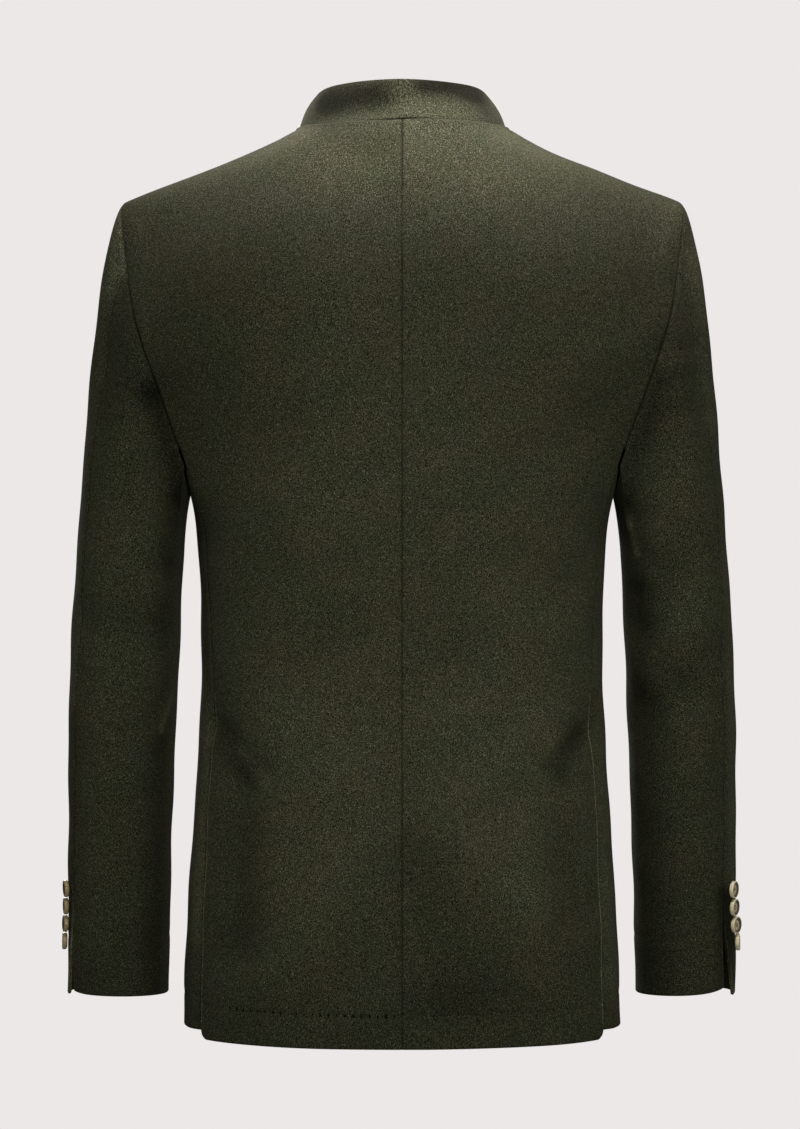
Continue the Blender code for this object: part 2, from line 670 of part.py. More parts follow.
def make_cloth(collection, material):
    """Every cloth piece as a closed wall; returns the meshes by name and the elbow seam's share."""
    sheets, drops, elbow_share = cut_pieces()
    normals, folded = sewn_normals(sheets)
    meshes = {}
    for sheet in sheets:
        normal = normals[sheet.name]
        offset = fold_heights(sheet.grid, normal) - drops.get(sheet.name, 0.0)
        offset -= folded[sheet.name] * SEAM_GAP / 2.0
        outer = sheet.grid + seam_shift(sheet.grid, normal) + normal * offset[:, :, None]
        inner = outer - normal * sheet.wall
        mesh = wall_mesh(sheet.name, sheet.grid, outer, inner, sheet.mirrored)
        mesh.materials.append(material)
        collection.objects.link(bpy.data.objects.new(sheet.name, mesh))
        meshes[sheet.name] = mesh
    return meshes, elbow_share


def make_button(collection, material, name, button, place, outward):
    """Turned button lying on the cloth at a place, facing outward."""
    mesh = bpy.data.meshes.new(name)
    points = [(point.radius_share * button.radius, 0.0, point.height_share * button.thickness)
              for point in BUTTON_PROFILE]
    mesh.from_pydata(points, [(i, i + 1) for i in range(len(points) - 1)], [])
    mesh.materials.append(material)
    obj = bpy.data.objects.new(name, mesh)
    turn = obj.modifiers.new("turn", "SCREW")
    turn.axis = "Z"
    turn.steps = BUTTON_STEPS
    turn.render_steps = BUTTON_STEPS
    turn.use_merge_vertices = True
    turn.merge_threshold = BUTTON_MERGE
    turn.use_smooth_shade = True
    obj.location = place + outward * BUTTON_LIFT
    obj.rotation_mode = "QUATERNION"
    obj.rotation_quaternion = outward.to_track_quat("Z", "Y")
    collection.objects.link(obj)


def surface_tree(mesh):
    """Search tree over a mesh's faces."""
    points = [vertex.co for vertex in mesh.vertices]
    return BVHTree.FromPolygons(points, [polygon.vertices for polygon in mesh.polygons])


def make_buttons(collection, material, meshes, elbow_share):
    """Cuff buttons beside each cuff vent and front buttons down the centre front."""
    trees = {side: surface_tree(meshes["upper_sleeve_" + side]) for side in ("left", "right")}
    for number in range(CUFF_BUTTON_COUNT):
        height = CUFF_BUTTON_FIRST - number * CUFF_BUTTON_PITCH
        for side, sign in (("left", 1.0), ("right", -1.0)):
            cuff = CUFFS[side]
            seam = elbow_share + cuff.turn * turn_at(height) - cuff.upper_shift * vent_opening(height)
            spot = sleeve_ring(height, np.array([seam - CUFF_BUTTON_INSET]))[0]
            target = Vector((sign * spot[0], spot[1], spot[2]))
            centre_x, centre_y = sleeve_sizes([height])[0][:2]
            outward = Vector((target.x - sign * centre_x, target.y - centre_y, 0.0)).normalized()
            place, normal = trees[side].ray_cast(target + outward * SEARCH_REACH, -outward)[:2]
            lean = CUFF_BUTTON_LEANS[side][number]
            along = Vector((0.0, 0.0, 1.0)).cross(normal) * sign
            place = place + normal * (CUFF_BUTTON.radius * abs(lean))
            normal = (normal + along * lean).normalized()
            make_button(collection, material, f"cuff_button_{side}_{number + 1}", CUFF_BUTTON, place, normal)
    front_tree = surface_tree(meshes["front_left"])
    for number in range(FRONT_BUTTON_COUNT):
        height = FRONT_BUTTON_FIRST - number * FRONT_BUTTON_PITCH
        start = Vector((0.0, FRONT_YOKE[0].centre_y - SEARCH_REACH, height))
        place, normal = front_tree.ray_cast(start, Vector((0.0, 1.0, 0.0)))[:2]
        make_button(collection, material, f"front_button_{number + 1}", FRONT_BUTTON, place, normal)


def main():
    """Clear the scene and make the jacket."""
    for obj in list(bpy.data.objects):
        bpy.data.objects.remove(obj, do_unlink=True)
    collection = bpy.data.collections.new("trachten_jacket")
    bpy.context.scene.collection.children.link(collection)
    meshes, elbow_share = make_cloth(collection, finish("loden_cloth", CLOTH_COLOUR, CLOTH_ROUGHNESS))
    make_buttons(collection, finish("horn", HORN_COLOUR, HORN_ROUGHNESS), meshes, elbow_share)


main()
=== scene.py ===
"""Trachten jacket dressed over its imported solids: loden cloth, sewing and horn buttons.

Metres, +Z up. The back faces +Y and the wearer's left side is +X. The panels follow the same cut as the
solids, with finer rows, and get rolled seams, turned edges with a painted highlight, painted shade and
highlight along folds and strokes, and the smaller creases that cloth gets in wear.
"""

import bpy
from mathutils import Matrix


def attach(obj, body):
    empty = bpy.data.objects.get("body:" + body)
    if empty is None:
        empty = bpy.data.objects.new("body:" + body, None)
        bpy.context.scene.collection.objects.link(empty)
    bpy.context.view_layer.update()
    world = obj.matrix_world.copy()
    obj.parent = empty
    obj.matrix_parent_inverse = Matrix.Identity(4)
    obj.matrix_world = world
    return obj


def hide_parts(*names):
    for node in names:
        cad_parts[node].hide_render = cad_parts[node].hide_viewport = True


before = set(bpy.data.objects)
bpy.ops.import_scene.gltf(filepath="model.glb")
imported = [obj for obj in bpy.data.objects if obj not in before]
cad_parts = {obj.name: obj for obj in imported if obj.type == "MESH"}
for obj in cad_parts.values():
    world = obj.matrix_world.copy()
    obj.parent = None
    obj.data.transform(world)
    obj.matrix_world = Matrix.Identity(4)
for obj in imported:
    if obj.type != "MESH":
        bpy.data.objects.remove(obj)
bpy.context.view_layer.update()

import logging
import math
from dataclasses import dataclass, field
from enum import Enum
from typing import Any, NamedTuple, Union

import bpy
import numpy as np
from mathutils import Matrix, Vector
from mathutils.bvhtree import BVHTree

log = logging.getLogger("jacket")
Points = np.ndarray
Piece = bpy.types.Object
Material = bpy.types.Material
Socket = bpy.types.NodeSocket
Number = Union[float, np.ndarray]
Triple = tuple[float, float, float]
Colour = tuple[float, float, float, float]

MIRROR = np.array([-1.0, 1.0, 1.0])
BODY_NODES = ("back_left", "back_right", "front_left", "front_right")
# Points of a curve before it is read at the mesh lines.
SAMPLES = 640
# Distance between mesh lines, and places of the closer ones beside an edge and about a pressed line.
LINE_STEP = 0.0036
EDGE_LINES = (0.0006, 0.0014, 0.0027)
CREASE_LINES = (-0.0025, -0.0012, 0.0002, 0.0013, 0.0026)


def ease(value: Points) -> Points:
    """Smooth step from 0 to 1."""
    value = np.clip(value, 0.0, 1.0)
    return value * value * (3.0 - 2.0 * value)


def bell(distance: Points, reach: float) -> Points:
    """Soft bump that is 1 at no distance and fades over the reach."""
    return np.exp(-(distance / reach) ** 2)


def lengths_along(points: Points) -> Points:
    """Distance along a row of points, from its start."""
    return np.concatenate([[0.0], np.cumsum(np.linalg.norm(np.diff(points, axis=0), axis=1))])


def shares_along(points: Points) -> Points:
    """Distance along a row of points as a share of the whole row."""
    distance = lengths_along(points)
    return distance / distance[-1]


def unit(vectors: Points) -> Points:
    """Vectors of the same directions, each one long."""
    return vectors / np.linalg.norm(vectors, axis=-1, keepdims=True)


def read_row(places: Points, stations: Points, row: Points) -> Points:
    """Points of a row, read at places between its stations."""
    return np.stack([np.interp(places, stations, row[:, axis]) for axis in range(3)], axis=1)


def resample(points: Points, shares: Points) -> Points:
    """Points at the given shares of a row's length."""
    return read_row(shares, shares_along(points), points)


def over_both(values: Points, mirror: Number = 1.0) -> Points:
    """Values of the left half's columns, with their mirror image before them."""
    return np.concatenate([values[:, :0:-1] * mirror, values], axis=1)


def full_round(angle: Points, power: float) -> tuple[Points, ...]:
    """Cosine and sine of a round section, which is the fuller at its corners the higher the power."""
    return tuple(np.sign(wave) * np.abs(wave) ** (2.0 / power) for wave in (np.cos(angle), np.sin(angle)))


def hermite(start: Points, start_slope: Points, end: Points, end_slope: Points, t: Number) -> Points:
    """Cubic curve from start to end, read at t from 0 to 1, that leaves and arrives along the given slopes."""
    square, cube = t * t, t * t * t
    return ((2.0 * cube - 3.0 * square + 1.0) * start + (cube - 2.0 * square + t) * start_slope
            + (3.0 * square - 2.0 * cube) * end + (cube - square) * end_slope)


def spline(stations: Any, keys: Any, samples: Any) -> Points:
    """Smooth curve through keys.

    Args:
        stations: Places of the keys along the curve.
        keys: Numbers, points or whole rows of points at those places.
        samples: Places at which the curve is read.

    Returns:
        One number, point or row for each sample.
    """
    stations, keys, samples = (np.asarray(value, float) for value in (stations, keys, samples))
    shape = (-1,) + (1,) * (keys.ndim - 1)
    step = np.diff(stations).reshape(shape)
    secant = np.diff(keys, axis=0) / step
    slope = np.empty_like(keys)
    slope[1:-1] = (step[1:] * secant[:-1] + step[:-1] * secant[1:]) / (step[1:] + step[:-1])
    slope[0] = 2.0 * secant[0] - slope[1]
    slope[-1] = 2.0 * secant[-1] - slope[-2]
    index = np.clip(np.searchsorted(stations, samples, side="right") - 1, 0, len(stations) - 2)
    width = step[index]
    t = (samples - stations[index]).reshape(shape) / width
    return hermite(keys[index], slope[index] * width, keys[index + 1], slope[index + 1] * width, t)


def lines_between(start: float, end: float, length: float, near_start: bool = True,
                  near_end: bool = True, crease: float = 0.0) -> Points:
    """Places of mesh lines between two values, closer together beside a sewn or turned edge.

    Args:
        start: First value.
        end: Last value.
        length: Real distance from the first to the last, which sets how many lines there are.
        near_start: Whether an edge lies at the start.
        near_end: Whether an edge lies at the end.
        crease: Distance from the start of a pressed line that needs closer lines, if there is one.

    Returns:
        The values in order, ends included.
    """
    shares = list(np.linspace(0.0, 1.0, max(2, round(length / LINE_STEP)) + 1))
    shares += [(crease + step) / length for step in CREASE_LINES if crease]
    fine = [line / length for line in EDGE_LINES]
    shares += fine if near_start else []
    shares += [1.0 - share for share in fine] if near_end else []
    return start + (end - start) * np.array(sorted(shares))


def ring_faces(rings: int, count: int, first: int = 0) -> list[tuple[int, ...]]:
    """Faces between rings, each of a count of points, that follow each other from the first point's number."""
    return [(start + n, start + count + n, start + count + (n + 1) % count, start + (n + 1) % count)
            for start in range(first, first + (rings - 1) * count, count) for n in range(count)]


def add_object(name: str, data: Any) -> Piece:
    """Put an object into the scene, at the origin.

    Args:
        name: Name of the object.
        data: Mesh, camera or light that it holds.

    Returns:
        The object.
    """
    made = bpy.data.objects.new(name, data)
    bpy.context.scene.collection.objects.link(made)
    return made


def add_mesh(name: str, points: list, faces: list, edges: Union[list, None] = None) -> Piece:
    """Put a mesh into the scene, at the origin.

    Args:
        name: Name of the mesh and of its object.
        points: Places of its points.
        faces: Numbers of each face's points.
        edges: Numbers of each edge's points, for a mesh that has no faces.

    Returns:
        The object that holds the mesh.
    """
    mesh = bpy.data.meshes.new(name)
    mesh.from_pydata(points, edges or [], faces)
    return add_object(name, mesh)


def keep_on_points(mesh: bpy.types.Mesh, label: str, values: Points) -> None:
    """Keep a number on each point of a mesh, under the label by which its finish reads it."""
    layer = mesh.attributes.new(label, "FLOAT", "POINT")
    layer.data.foreach_set("value", values.astype(np.float32))


class Side(Enum):
    """Half of the jacket that a piece belongs to, with the end that it gives to names."""

    LEFT = "_left"
    RIGHT = "_right"
    BOTH = ""

    @property
    def sign(self) -> float:
        """Sign of the half's places across."""
        return -1.0 if self is Side.RIGHT else 1.0


class Border(Enum):
    """The four borders of a panel's grid, each with the places of its points."""

    FIRST_ROW = (0, slice(None))
    LAST_ROW = (-1, slice(None))
    FIRST_COLUMN = (slice(None), 0)
    LAST_COLUMN = (slice(None), -1)

    @property
    def is_row(self) -> bool:
        """Whether the border runs along a row."""
        return self in (Border.FIRST_ROW, Border.LAST_ROW)


class Level(NamedTuple):
    """Torso section; its station is the distance up the centre back."""

    station: float
    height: float
    centre_drop: float
    half_width: float
    back_depth: float
    front_depth: float
    back_seam_y: float
    front_seam_y: float


class YokeRow(NamedTuple):
    """Row above the underarm, from the centre line to the armhole."""

    station: float
    centre_y: float
    centre_z: float
    end_x: float
    end_y: float
    end_z: float


class Lean(NamedTuple):
    """How far the collar's top edge leans in, leans forward and rises."""

    side: float
    forward: float
    rise: float


class SleeveRing(NamedTuple):
    """Section of the left sleeve."""

    height: float
    centre_x: float
    centre_y: float
    half_width: float
    half_depth: float


class Mark(NamedTuple):
    """Soft line on the cloth between two ends, seen square from behind, with its width and its amount.

    The amount is the height of a fold, or how much painted shade darkens the colour along a stroke. With a minus
    sign a fold is a trough and a stroke is a painted highlight.
    """

    start_x: float
    start_z: float
    end_x: float
    end_z: float
    width: float
    amount: float


class Cut(NamedTuple):
    """Flat size of a cut piece: widest, longest and area."""

    width: float
    length: float
    area: float


class Cuff(NamedTuple):
    """How one cuff hangs: its turn round the arm, its vent's open edges, its buttons' leans, and how far their
    horn turns honey brown, which on the left cuff is painted shade.
    """

    turn: float
    upper_shift: float
    under_shift: float
    upper_lift: float
    corner_rise: float
    leans: tuple[float, ...]
    warmth: float


class Edge(NamedTuple):
    """Border of a piece: how far it is sewn (1) or turned and free (0).

    A sewn border has a groove and puckers, and a free one a share of painted highlight along its edge.
    """

    sewn: Number
    groove: Number = 0.5
    lit: Number = 0.0
    pucker: Number = 0.0


@dataclass
class Panel:
    """One cut piece of the left half as a grid of points on its outer face."""

    name: str
    grid: Points
    wall: float
    cut: Cut
    hangs_from: tuple[str, ...]
    edges: dict[Border, Edge]
    drop: Number = 0.0
    right_drop: Number = 0.0
    ridge: Number = 0.0
    hem: Union[tuple[Border, float], None] = None
    normal: Points = field(init=False)
    folded: Points = field(init=False)

    def own_normals(self) -> Points:
        """Outward unit normals of the grid."""
        return unit(np.cross(np.gradient(self.grid, axis=0), np.gradient(self.grid, axis=1)))

    def distances(self) -> dict[Border, Points]:
        """Measure how far the points lie from the borders, along the cloth.

        Returns:
            For each border the distance of every point from it.
        """
        across = np.array([lengths_along(row) for row in self.grid])
        along = np.array([lengths_along(self.grid[:, column]) for column in range(self.grid.shape[1])]).T
        return {Border.FIRST_ROW: along, Border.LAST_ROW: along[-1:] - along,
                Border.FIRST_COLUMN: across, Border.LAST_COLUMN: across[:, -1:] - across}


@dataclass
class Body:
    """Back, side and front panels, and the lines that the collar and the sleeves are sewn to."""

    wall: float = 0.002
    torso_power: float = 2.4
    yoke_power: float = 2.2
    neck_half_width: float = 0.0825
    neck_point_y: float = 0.008
    neck_back_y: float = 0.085
    neck_back_z: float = 0.002
    neck_front_y: float = -0.075
    neck_front_z: float = -0.072
    shoulder_tip: Triple = (0.2205, -0.006, -0.0565)
    shoulder_hollow: float = 0.0034
    hollow_peak: float = 4.0 / 27.0
    underarm_station: float = 0.440
    shoulder_station: float = 0.685
    top_station: float = 0.720
    yoke_step: float = (top_station - underarm_station) / 9.0
    elbow_station: float = top_station - 3.0 * yoke_step
    front_seam_station: float = underarm_station + 2.0 * yoke_step
    corner_reach: float = yoke_step
    softening: int = 8
    collar_end_x: float = 0.006
    overlap: float = 0.020
    overlap_drop: float = 0.0032
    overlap_ease: float = 0.030
    overlap_clear: float = 0.002
    corner_dip: float = 0.005
    vent_top: float = -0.455
    vent_lap: float = 0.025
    vent_drop: float = 0.0030
    vent_ease: float = 0.050
    vent_step: float = 0.022
    lap_start: float = 0.020
    lap_samples: int = 160
    side_hem_rise: float = 0.0065
    armhole_dip: float = 0.023
    armhole_hollow: float = 0.002
    side_width: float = 0.100
    coarse_columns: int = 6
    neckline_length: float = 0.118
    front_neckline_length: float = 0.110
    shoulder_length: float = 0.150
    lap_lines: int = 20
    hem_corner: float = 0.0075
    hem_corner_reach: float = 0.016
    hem_depth: float = 0.0262
    neck_lip: float = 0.0011
    neck_lip_place: float = 0.0020
    neck_lip_reach: float = 0.0017
    neck_lip_fade: float = 0.020
    neck_lip_lower: float = 0.6
    neck_seam_half: float = 0.036
    neck_groove_centre: float = 0.95
    neck_groove_least: float = 0.12
    centre_groove: float = 0.55
    centre_groove_top: float = -0.075
    centre_groove_ease: float = 0.060
    armhole_groove_top: float = -0.100
    armhole_groove_ease: float = 0.080
    armhole_groove_start: float = 0.012
    armhole_groove_high: float = 0.40
    armhole_groove_low: float = 0.60
    armhole_groove_tip: float = 0.34
    levels: tuple[Level, ...] = (
        Level(0.000, -0.7200, 0.0027, 0.1744, 0.120, 0.124, 0.062, -0.045),
        Level(0.103, -0.6150, 0.0000, 0.1708, 0.121, 0.126, 0.060, -0.045),
        Level(0.183, -0.5350, 0.0000, 0.1655, 0.113, 0.123, 0.053, -0.045),
        Level(0.278, -0.4400, 0.0000, 0.1603, 0.100, 0.118, 0.045, -0.045),
        Level(0.358, -0.3600, 0.0000, 0.1613, 0.112, 0.124, 0.045, -0.045),
        Level(0.400, -0.3180, 0.0000, 0.1645, 0.119, 0.129, 0.046, -0.045))
    back_yoke: tuple[YokeRow, ...] = (
        YokeRow(0.440, 0.124, -0.278, 0.1715, 0.052, -0.270),
        YokeRow(0.545, 0.127, -0.172, 0.2075, 0.056, -0.166),
        YokeRow(0.630, 0.115, -0.088, 0.2185, 0.032, -0.112))
    front_yoke: tuple[YokeRow, ...] = (
        YokeRow(0.440, -0.131, -0.278, 0.1695, -0.050, -0.266),
        YokeRow(0.545, -0.130, -0.190, 0.1880, -0.070, -0.175),
        YokeRow(0.630, -0.110, -0.130, 0.2070, -0.046, -0.110))
    back_steps: tuple[Triple, ...] = (
        (0.0, 0.015, -0.036), (0.022, 0.030, -0.021), (0.003, 0.022, -0.010))
    front_steps: tuple[Triple, ...] = (
        (0.000, -0.021, -0.010), (0.022, -0.026, -0.024), (0.0, -0.019, -0.036))
    back: Panel = field(init=False)
    side: Panel = field(init=False)
    front: Panel = field(init=False)

    def __post_init__(self) -> None:
        """Lay out the mesh rows and build the panels."""
        under = self.underarm_station
        self.lower = lines_between(0.0, under, under, crease=self.hem_depth)
        marks = (under, self.front_seam_station, self.elbow_station, self.top_station)
        upper = [lines_between(low, high, high - low)[1:] for low, high in zip(marks, marks[1:])]
        self.stations = np.concatenate([self.lower] + upper)
        self.underarm = len(self.lower) - 1
        self.build()

    def row_at(self, station: float) -> int:
        """Number of the mesh row at a station."""
        return int(np.argmin(np.abs(self.stations - station)))

    def shoulder_seam(self, t: Points) -> Points:
        """Shoulder seam, hollow near the neck.

        Args:
            t: Places along it, from 0 at the neck point to 1 at the tip.

        Returns:
            The seam's points.
        """
        neck = np.array([self.neck_half_width, self.neck_point_y, 0.0])
        seam = neck + t[:, None] * (np.array(self.shoulder_tip) - neck)
        seam[:, 2] -= self.shoulder_hollow / self.hollow_peak * t * (1.0 - t) ** 2
        return seam

    def back_top(self, neck: Points, shoulder: Points) -> Points:
        """Top edge of the back: the neckline from the centre to the neck point, then the shoulder seam.

        Args:
            neck: Shares of the neckline.
            shoulder: Shares of the shoulder seam.

        Returns:
            The edge's points.
        """
        angle = np.linspace(0.0, math.pi / 2.0, SAMPLES)
        neckline = self.neckline(np.sin(angle), np.cos(angle), self.neck_back_y, self.neck_back_z)
        return np.vstack([resample(neckline, neck)[:-1], self.shoulder_seam(shoulder)])

    def neckline(self, across: Points, along: Points, y: float, z: float) -> Points:
        """Points of a neckline at shares of the way across and of the way to its lowest place."""
        return np.stack([self.neck_half_width * across, self.neck_point_y + (y - self.neck_point_y) * along,
                         z * along], axis=1)

    def front_neckline(self, start: float, end: float) -> Points:
        """Stretch of the front neckline between two angles from the neck point."""
        angle = np.linspace(start, end, SAMPLES)
        return self.neckline(np.cos(angle), np.sin(angle), self.neck_front_y, self.neck_front_z)

    def front_top(self, shoulder: Points, neck: Points) -> Points:
        """Top edge of the front: the shoulder seam from the tip, the neckline to the lap, the collar's end.

        Args:
            shoulder: Shares of the shoulder seam.
            neck: Shares of the neckline as far as the lap.

        Returns:
            The edge's points.
        """
        lap, end = (math.acos(x / self.neck_half_width) for x in (self.overlap, self.collar_end_x))
        neckline = resample(self.front_neckline(0.0, lap), neck)
        return np.vstack([self.shoulder_seam(shoulder)[::-1][:-1], neckline, self.front_neckline(lap, end)[-1]])

    def stepped(self, coarse: Points, corner: int, steps: tuple, fine: Points) -> Points:
        """Row a short step down the cloth from a top edge, with the neck's corner softened.

        Args:
            coarse: Top edge at the few columns that the step is worked out on.
            corner: Column of the neck point.
            steps: Steps at the first column, the corner and the last column.
            fine: Shares of the top edge at which the row is read.

        Returns:
            The row's points at those shares.
        """
        share = shares_along(coarse)
        row = coarse + spline([0.0, share[corner], 1.0], steps, share)
        for _ in range(self.softening):
            row[1:-1] = (row[:-2] + 2.0 * row[1:-1] + row[2:]) / 4.0
        return spline(share, row, fine)

    def angle_at(self, y: float, depth: float) -> float:
        """Angle from the centre back at which a torso section reaches y."""
        return math.acos(math.copysign((abs(y) / depth) ** (self.torso_power / 2.0), y))

    def arc(self, level: Level, start: float, end: float) -> Points:
        """Stretch of a torso section between two angles from the centre back."""
        cosine, sine = full_round(np.linspace(start, end, SAMPLES), self.torso_power)
        return np.stack([level.half_width * sine,
                         np.where(cosine > 0.0, level.back_depth, level.front_depth) * cosine,
                         np.full(SAMPLES, level.height)], axis=1)

    def yoke(self, row: YokeRow, x: Points) -> Points:
        """Points of a row above the underarm at distances from the centre line."""
        share = x / row.end_x
        return np.stack([x, row.centre_y + (row.end_y - row.centre_y) * share ** self.yoke_power,
                         row.centre_z + (row.end_z - row.centre_z) * share ** 2], axis=1)

    def back_rows(self) -> list[Points]:
        """Key rows of the back.

        Returns:
            Rows from the hem up, each from the centre line to the side seam or the armhole.
        """
        rows = []
        for level in self.levels:
            row = self.arc(level, 0.0, self.angle_at(level.back_seam_y, level.back_depth))
            row[:, 2] -= level.centre_drop * (1.0 - shares_along(row) ** 2)
            rows.append(row)
        return rows + [self.yoke(row, np.linspace(0.0, row.end_x, SAMPLES)) for row in self.back_yoke]

    def front_rows(self) -> list[Points]:
        """Key rows of the front.

        Returns:
            Rows from the hem up, each from the side seam or the armhole to the collar's end.
        """
        rows = []
        for level in self.levels:
            end = math.pi - math.asin((self.collar_end_x / level.half_width) ** (self.torso_power / 2.0))
            rows.append(self.arc(level, self.angle_at(level.front_seam_y, level.front_depth), end))
        rows[0][:, 2] += self.side_hem_rise
        return rows + [self.yoke(row, np.linspace(row.end_x, self.collar_end_x, SAMPLES))
                       for row in self.front_yoke]

    def loft(self, yoke: tuple[YokeRow, ...], rows: list[Points], top: Points, stepped: Points) -> Points:
        """Grid from the hem up, through key rows, the row a short step below the top edge, and that edge."""
        stations = [row.station for row in self.levels + yoke] + [self.shoulder_station, self.top_station]
        return spline(stations, [resample(row, shares_along(top)) for row in rows] + [stepped, top], self.stations)

    def armhole_bottom(self) -> Points:
        """Bottom of the armhole.

        Returns:
            Points from the back seam under the arm to the front seam.
        """
        t = np.linspace(0.0, 1.0, SAMPLES)
        start, end = (np.array(row[3:]) for row in (self.back_yoke[0], self.front_yoke[0]))
        curve = start + t[:, None] * (end - start)
        curve[:, 0] -= self.armhole_hollow * np.sin(math.pi * t)
        curve[:, 2] -= self.armhole_dip * np.sin(math.pi * t)
        return curve

    def side_grid(self, back_rows: list[Points]) -> tuple[Points, Points]:
        """Grid of the side panel.

        Args:
            back_rows: Key rows of the back, which the panel laps under at the vent.

        Returns:
            The grid, and how deep each point drops under the back's vent edge.
        """
        arcs = [self.arc(level, self.angle_at(level.back_seam_y, level.back_depth),
                         self.angle_at(level.front_seam_y, level.front_depth)) for level in self.levels]
        rows = []
        for back_row, arc in zip(back_rows, arcs + [self.armhole_bottom()]):
            start = 1.0 - self.vent_lap / lengths_along(back_row)[-1]
            under = resample(back_row, np.linspace(start, 1.0, self.lap_samples + 1))
            rows.append(np.vstack([under[:-1], resample(arc, np.linspace(0.0, 1.0, SAMPLES))]))
        rows[0][:, 2] = self.levels[0].height + self.side_hem_rise
        stations = [level.station for level in self.levels] + [self.underarm_station]
        grid, drop = [], []
        for row in spline(stations, rows, self.lower):
            distance = lengths_along(row) - lengths_along(row)[self.lap_samples]
            height = row[self.lap_samples, 2]
            lap = self.vent_lap * ease((self.vent_top - self.lap_start - height) / self.vent_ease)
            places = lines_between(-lap, distance[-1], self.side_width)
            grid.append(read_row(places, distance, row))
            depth = self.vent_drop * ease((self.vent_top + self.lap_start - height) / self.vent_ease)
            drop.append(depth * (1.0 - ease(places / self.vent_step)))
        return np.array(grid), np.array(drop)

    def with_lap(self, grid: Points, shares: Points) -> Points:
        """Add the front's lap past the centre, whose top corner lies a little lower than the neckline.

        Args:
            grid: Grid of the front as far as the collar's end.
            shares: Shares of its columns.

        Returns:
            The grid with its lap.
        """
        x_places = lines_between(self.overlap, -self.overlap, self.lap_lines * LINE_STEP, near_start=False,
                                 near_end=False)[1:]
        lines = [line - self.overlap for line in EDGE_LINES]
        x_places = np.array(sorted(list(x_places) + lines, reverse=True))
        reach = np.maximum(np.abs(x_places), self.collar_end_x)
        rows = []
        for row in grid:
            inward = row[::-1]
            lap_share = np.interp(self.overlap, inward[:, 0], shares[::-1])
            body = read_row(shares[:-1] / shares[-2] * lap_share, shares, row)
            lap = read_row(reach, inward[:, 0], inward)
            lap[:, 0] = x_places
            rows.append(np.vstack([body, lap]))
        rows = np.array(rows)
        dip = self.corner_dip * np.interp(-rows[-1, :, 0], [-self.collar_end_x, self.collar_end_x, self.overlap],
                                          [0.0, 0.5, 1.0])
        below = self.row_at(self.top_station - self.corner_reach)
        down = unit(rows[below] - rows[-1])
        share = np.clip(1.0 - (self.top_station - self.stations) / self.corner_reach, 0.0, 1.0)
        return rows + share[:, None, None] * dip[None, :, None] * down

    def build(self) -> None:
        """Build the back, side and front panels and sew their shared edges together."""
        coarse = np.linspace(0.0, 1.0, self.coarse_columns + 1)
        self.neck_lines = lines_between(0.0, 1.0, self.neckline_length, near_end=False)
        shoulder = lines_between(0.0, 1.0, self.shoulder_length, near_start=False)
        back_rows = self.back_rows()
        top = self.back_top(self.neck_lines, shoulder)
        stepped = self.stepped(self.back_top(coarse, coarse), self.coarse_columns, self.back_steps,
                               shares_along(top))
        back = self.loft(self.back_yoke, back_rows, top, stepped)
        self.front_neck_lines = lines_between(0.0, 1.0, self.front_neckline_length, near_start=False,
                                              near_end=False)
        top = self.front_top(shoulder, self.front_neck_lines)
        coarse_top = self.front_top(coarse, np.linspace(0.0, 1.0, self.coarse_columns))
        stepped = self.stepped(coarse_top, self.coarse_columns, self.front_steps, shares_along(top))
        front = self.with_lap(self.loft(self.front_yoke, self.front_rows(), top, stepped), shares_along(top))
        self.neck_column = len(shoulder) - 1
        side, side_drop = self.side_grid(back_rows)
        joined = side_drop[:, 0] == 0.0
        side[joined, 0] = back[:self.underarm + 1][joined, -1]
        front[:self.underarm + 1, 0] = side[:, -1]
        vent = ease((back[:, -1, 2] - self.vent_top) / self.lap_start)
        back = self.with_round_corner(back)
        centre = self.centre_groove + (1.0 - self.centre_groove) * (
            ease((back[:, 0, 2] - self.centre_groove_top) / self.centre_groove_ease))
        armhole, front_armhole = (self.armhole_groove(grid[:, column, 2])
                                  for grid, column in ((back, -1), (front, 0)))
        under_drop = self.overlap_drop * (1.0 - ease((front[:, :, 0] - self.overlap - self.overlap_clear)
                                                     / self.overlap_ease))
        self.back = Panel("back", back, self.wall, Cut(0.275, 0.777, 0.1438), ("collar",),
                          {Border.FIRST_ROW: Edge(0.0), Border.LAST_ROW: Edge(1.0, self.neck_groove(back[-1])),
                           Border.FIRST_COLUMN: Edge(1.0, centre), Border.LAST_COLUMN: Edge(vent, armhole, 1.0)},
                          hem=(Border.FIRST_ROW, self.hem_depth))
        self.side = Panel("side", side, self.wall, Cut(0.136, 0.453, 0.0484), ("back_left", "back_right"),
                          {Border.FIRST_ROW: Edge(0.0), Border.LAST_ROW: Edge(1.0), Border.LAST_COLUMN: Edge(1.0),
                           Border.FIRST_COLUMN: Edge(vent[:self.underarm + 1])},
                          drop=side_drop, right_drop=side_drop, hem=(Border.FIRST_ROW, self.hem_depth))
        self.front = Panel("front", front, self.wall, Cut(0.322, 0.765, 0.1520), ("collar",),
                           {Border.FIRST_ROW: Edge(0.0), Border.LAST_ROW: Edge(1.0, self.neck_groove(front[-1])),
                            Border.FIRST_COLUMN: Edge(1.0, front_armhole), Border.LAST_COLUMN: Edge(0.0)},
                           right_drop=under_drop, hem=(Border.FIRST_ROW, self.hem_depth))
        for panel in (self.back, self.front):
            panel.ridge = self.neck_roll(panel.grid[-1], panel.distances()[Border.LAST_ROW])

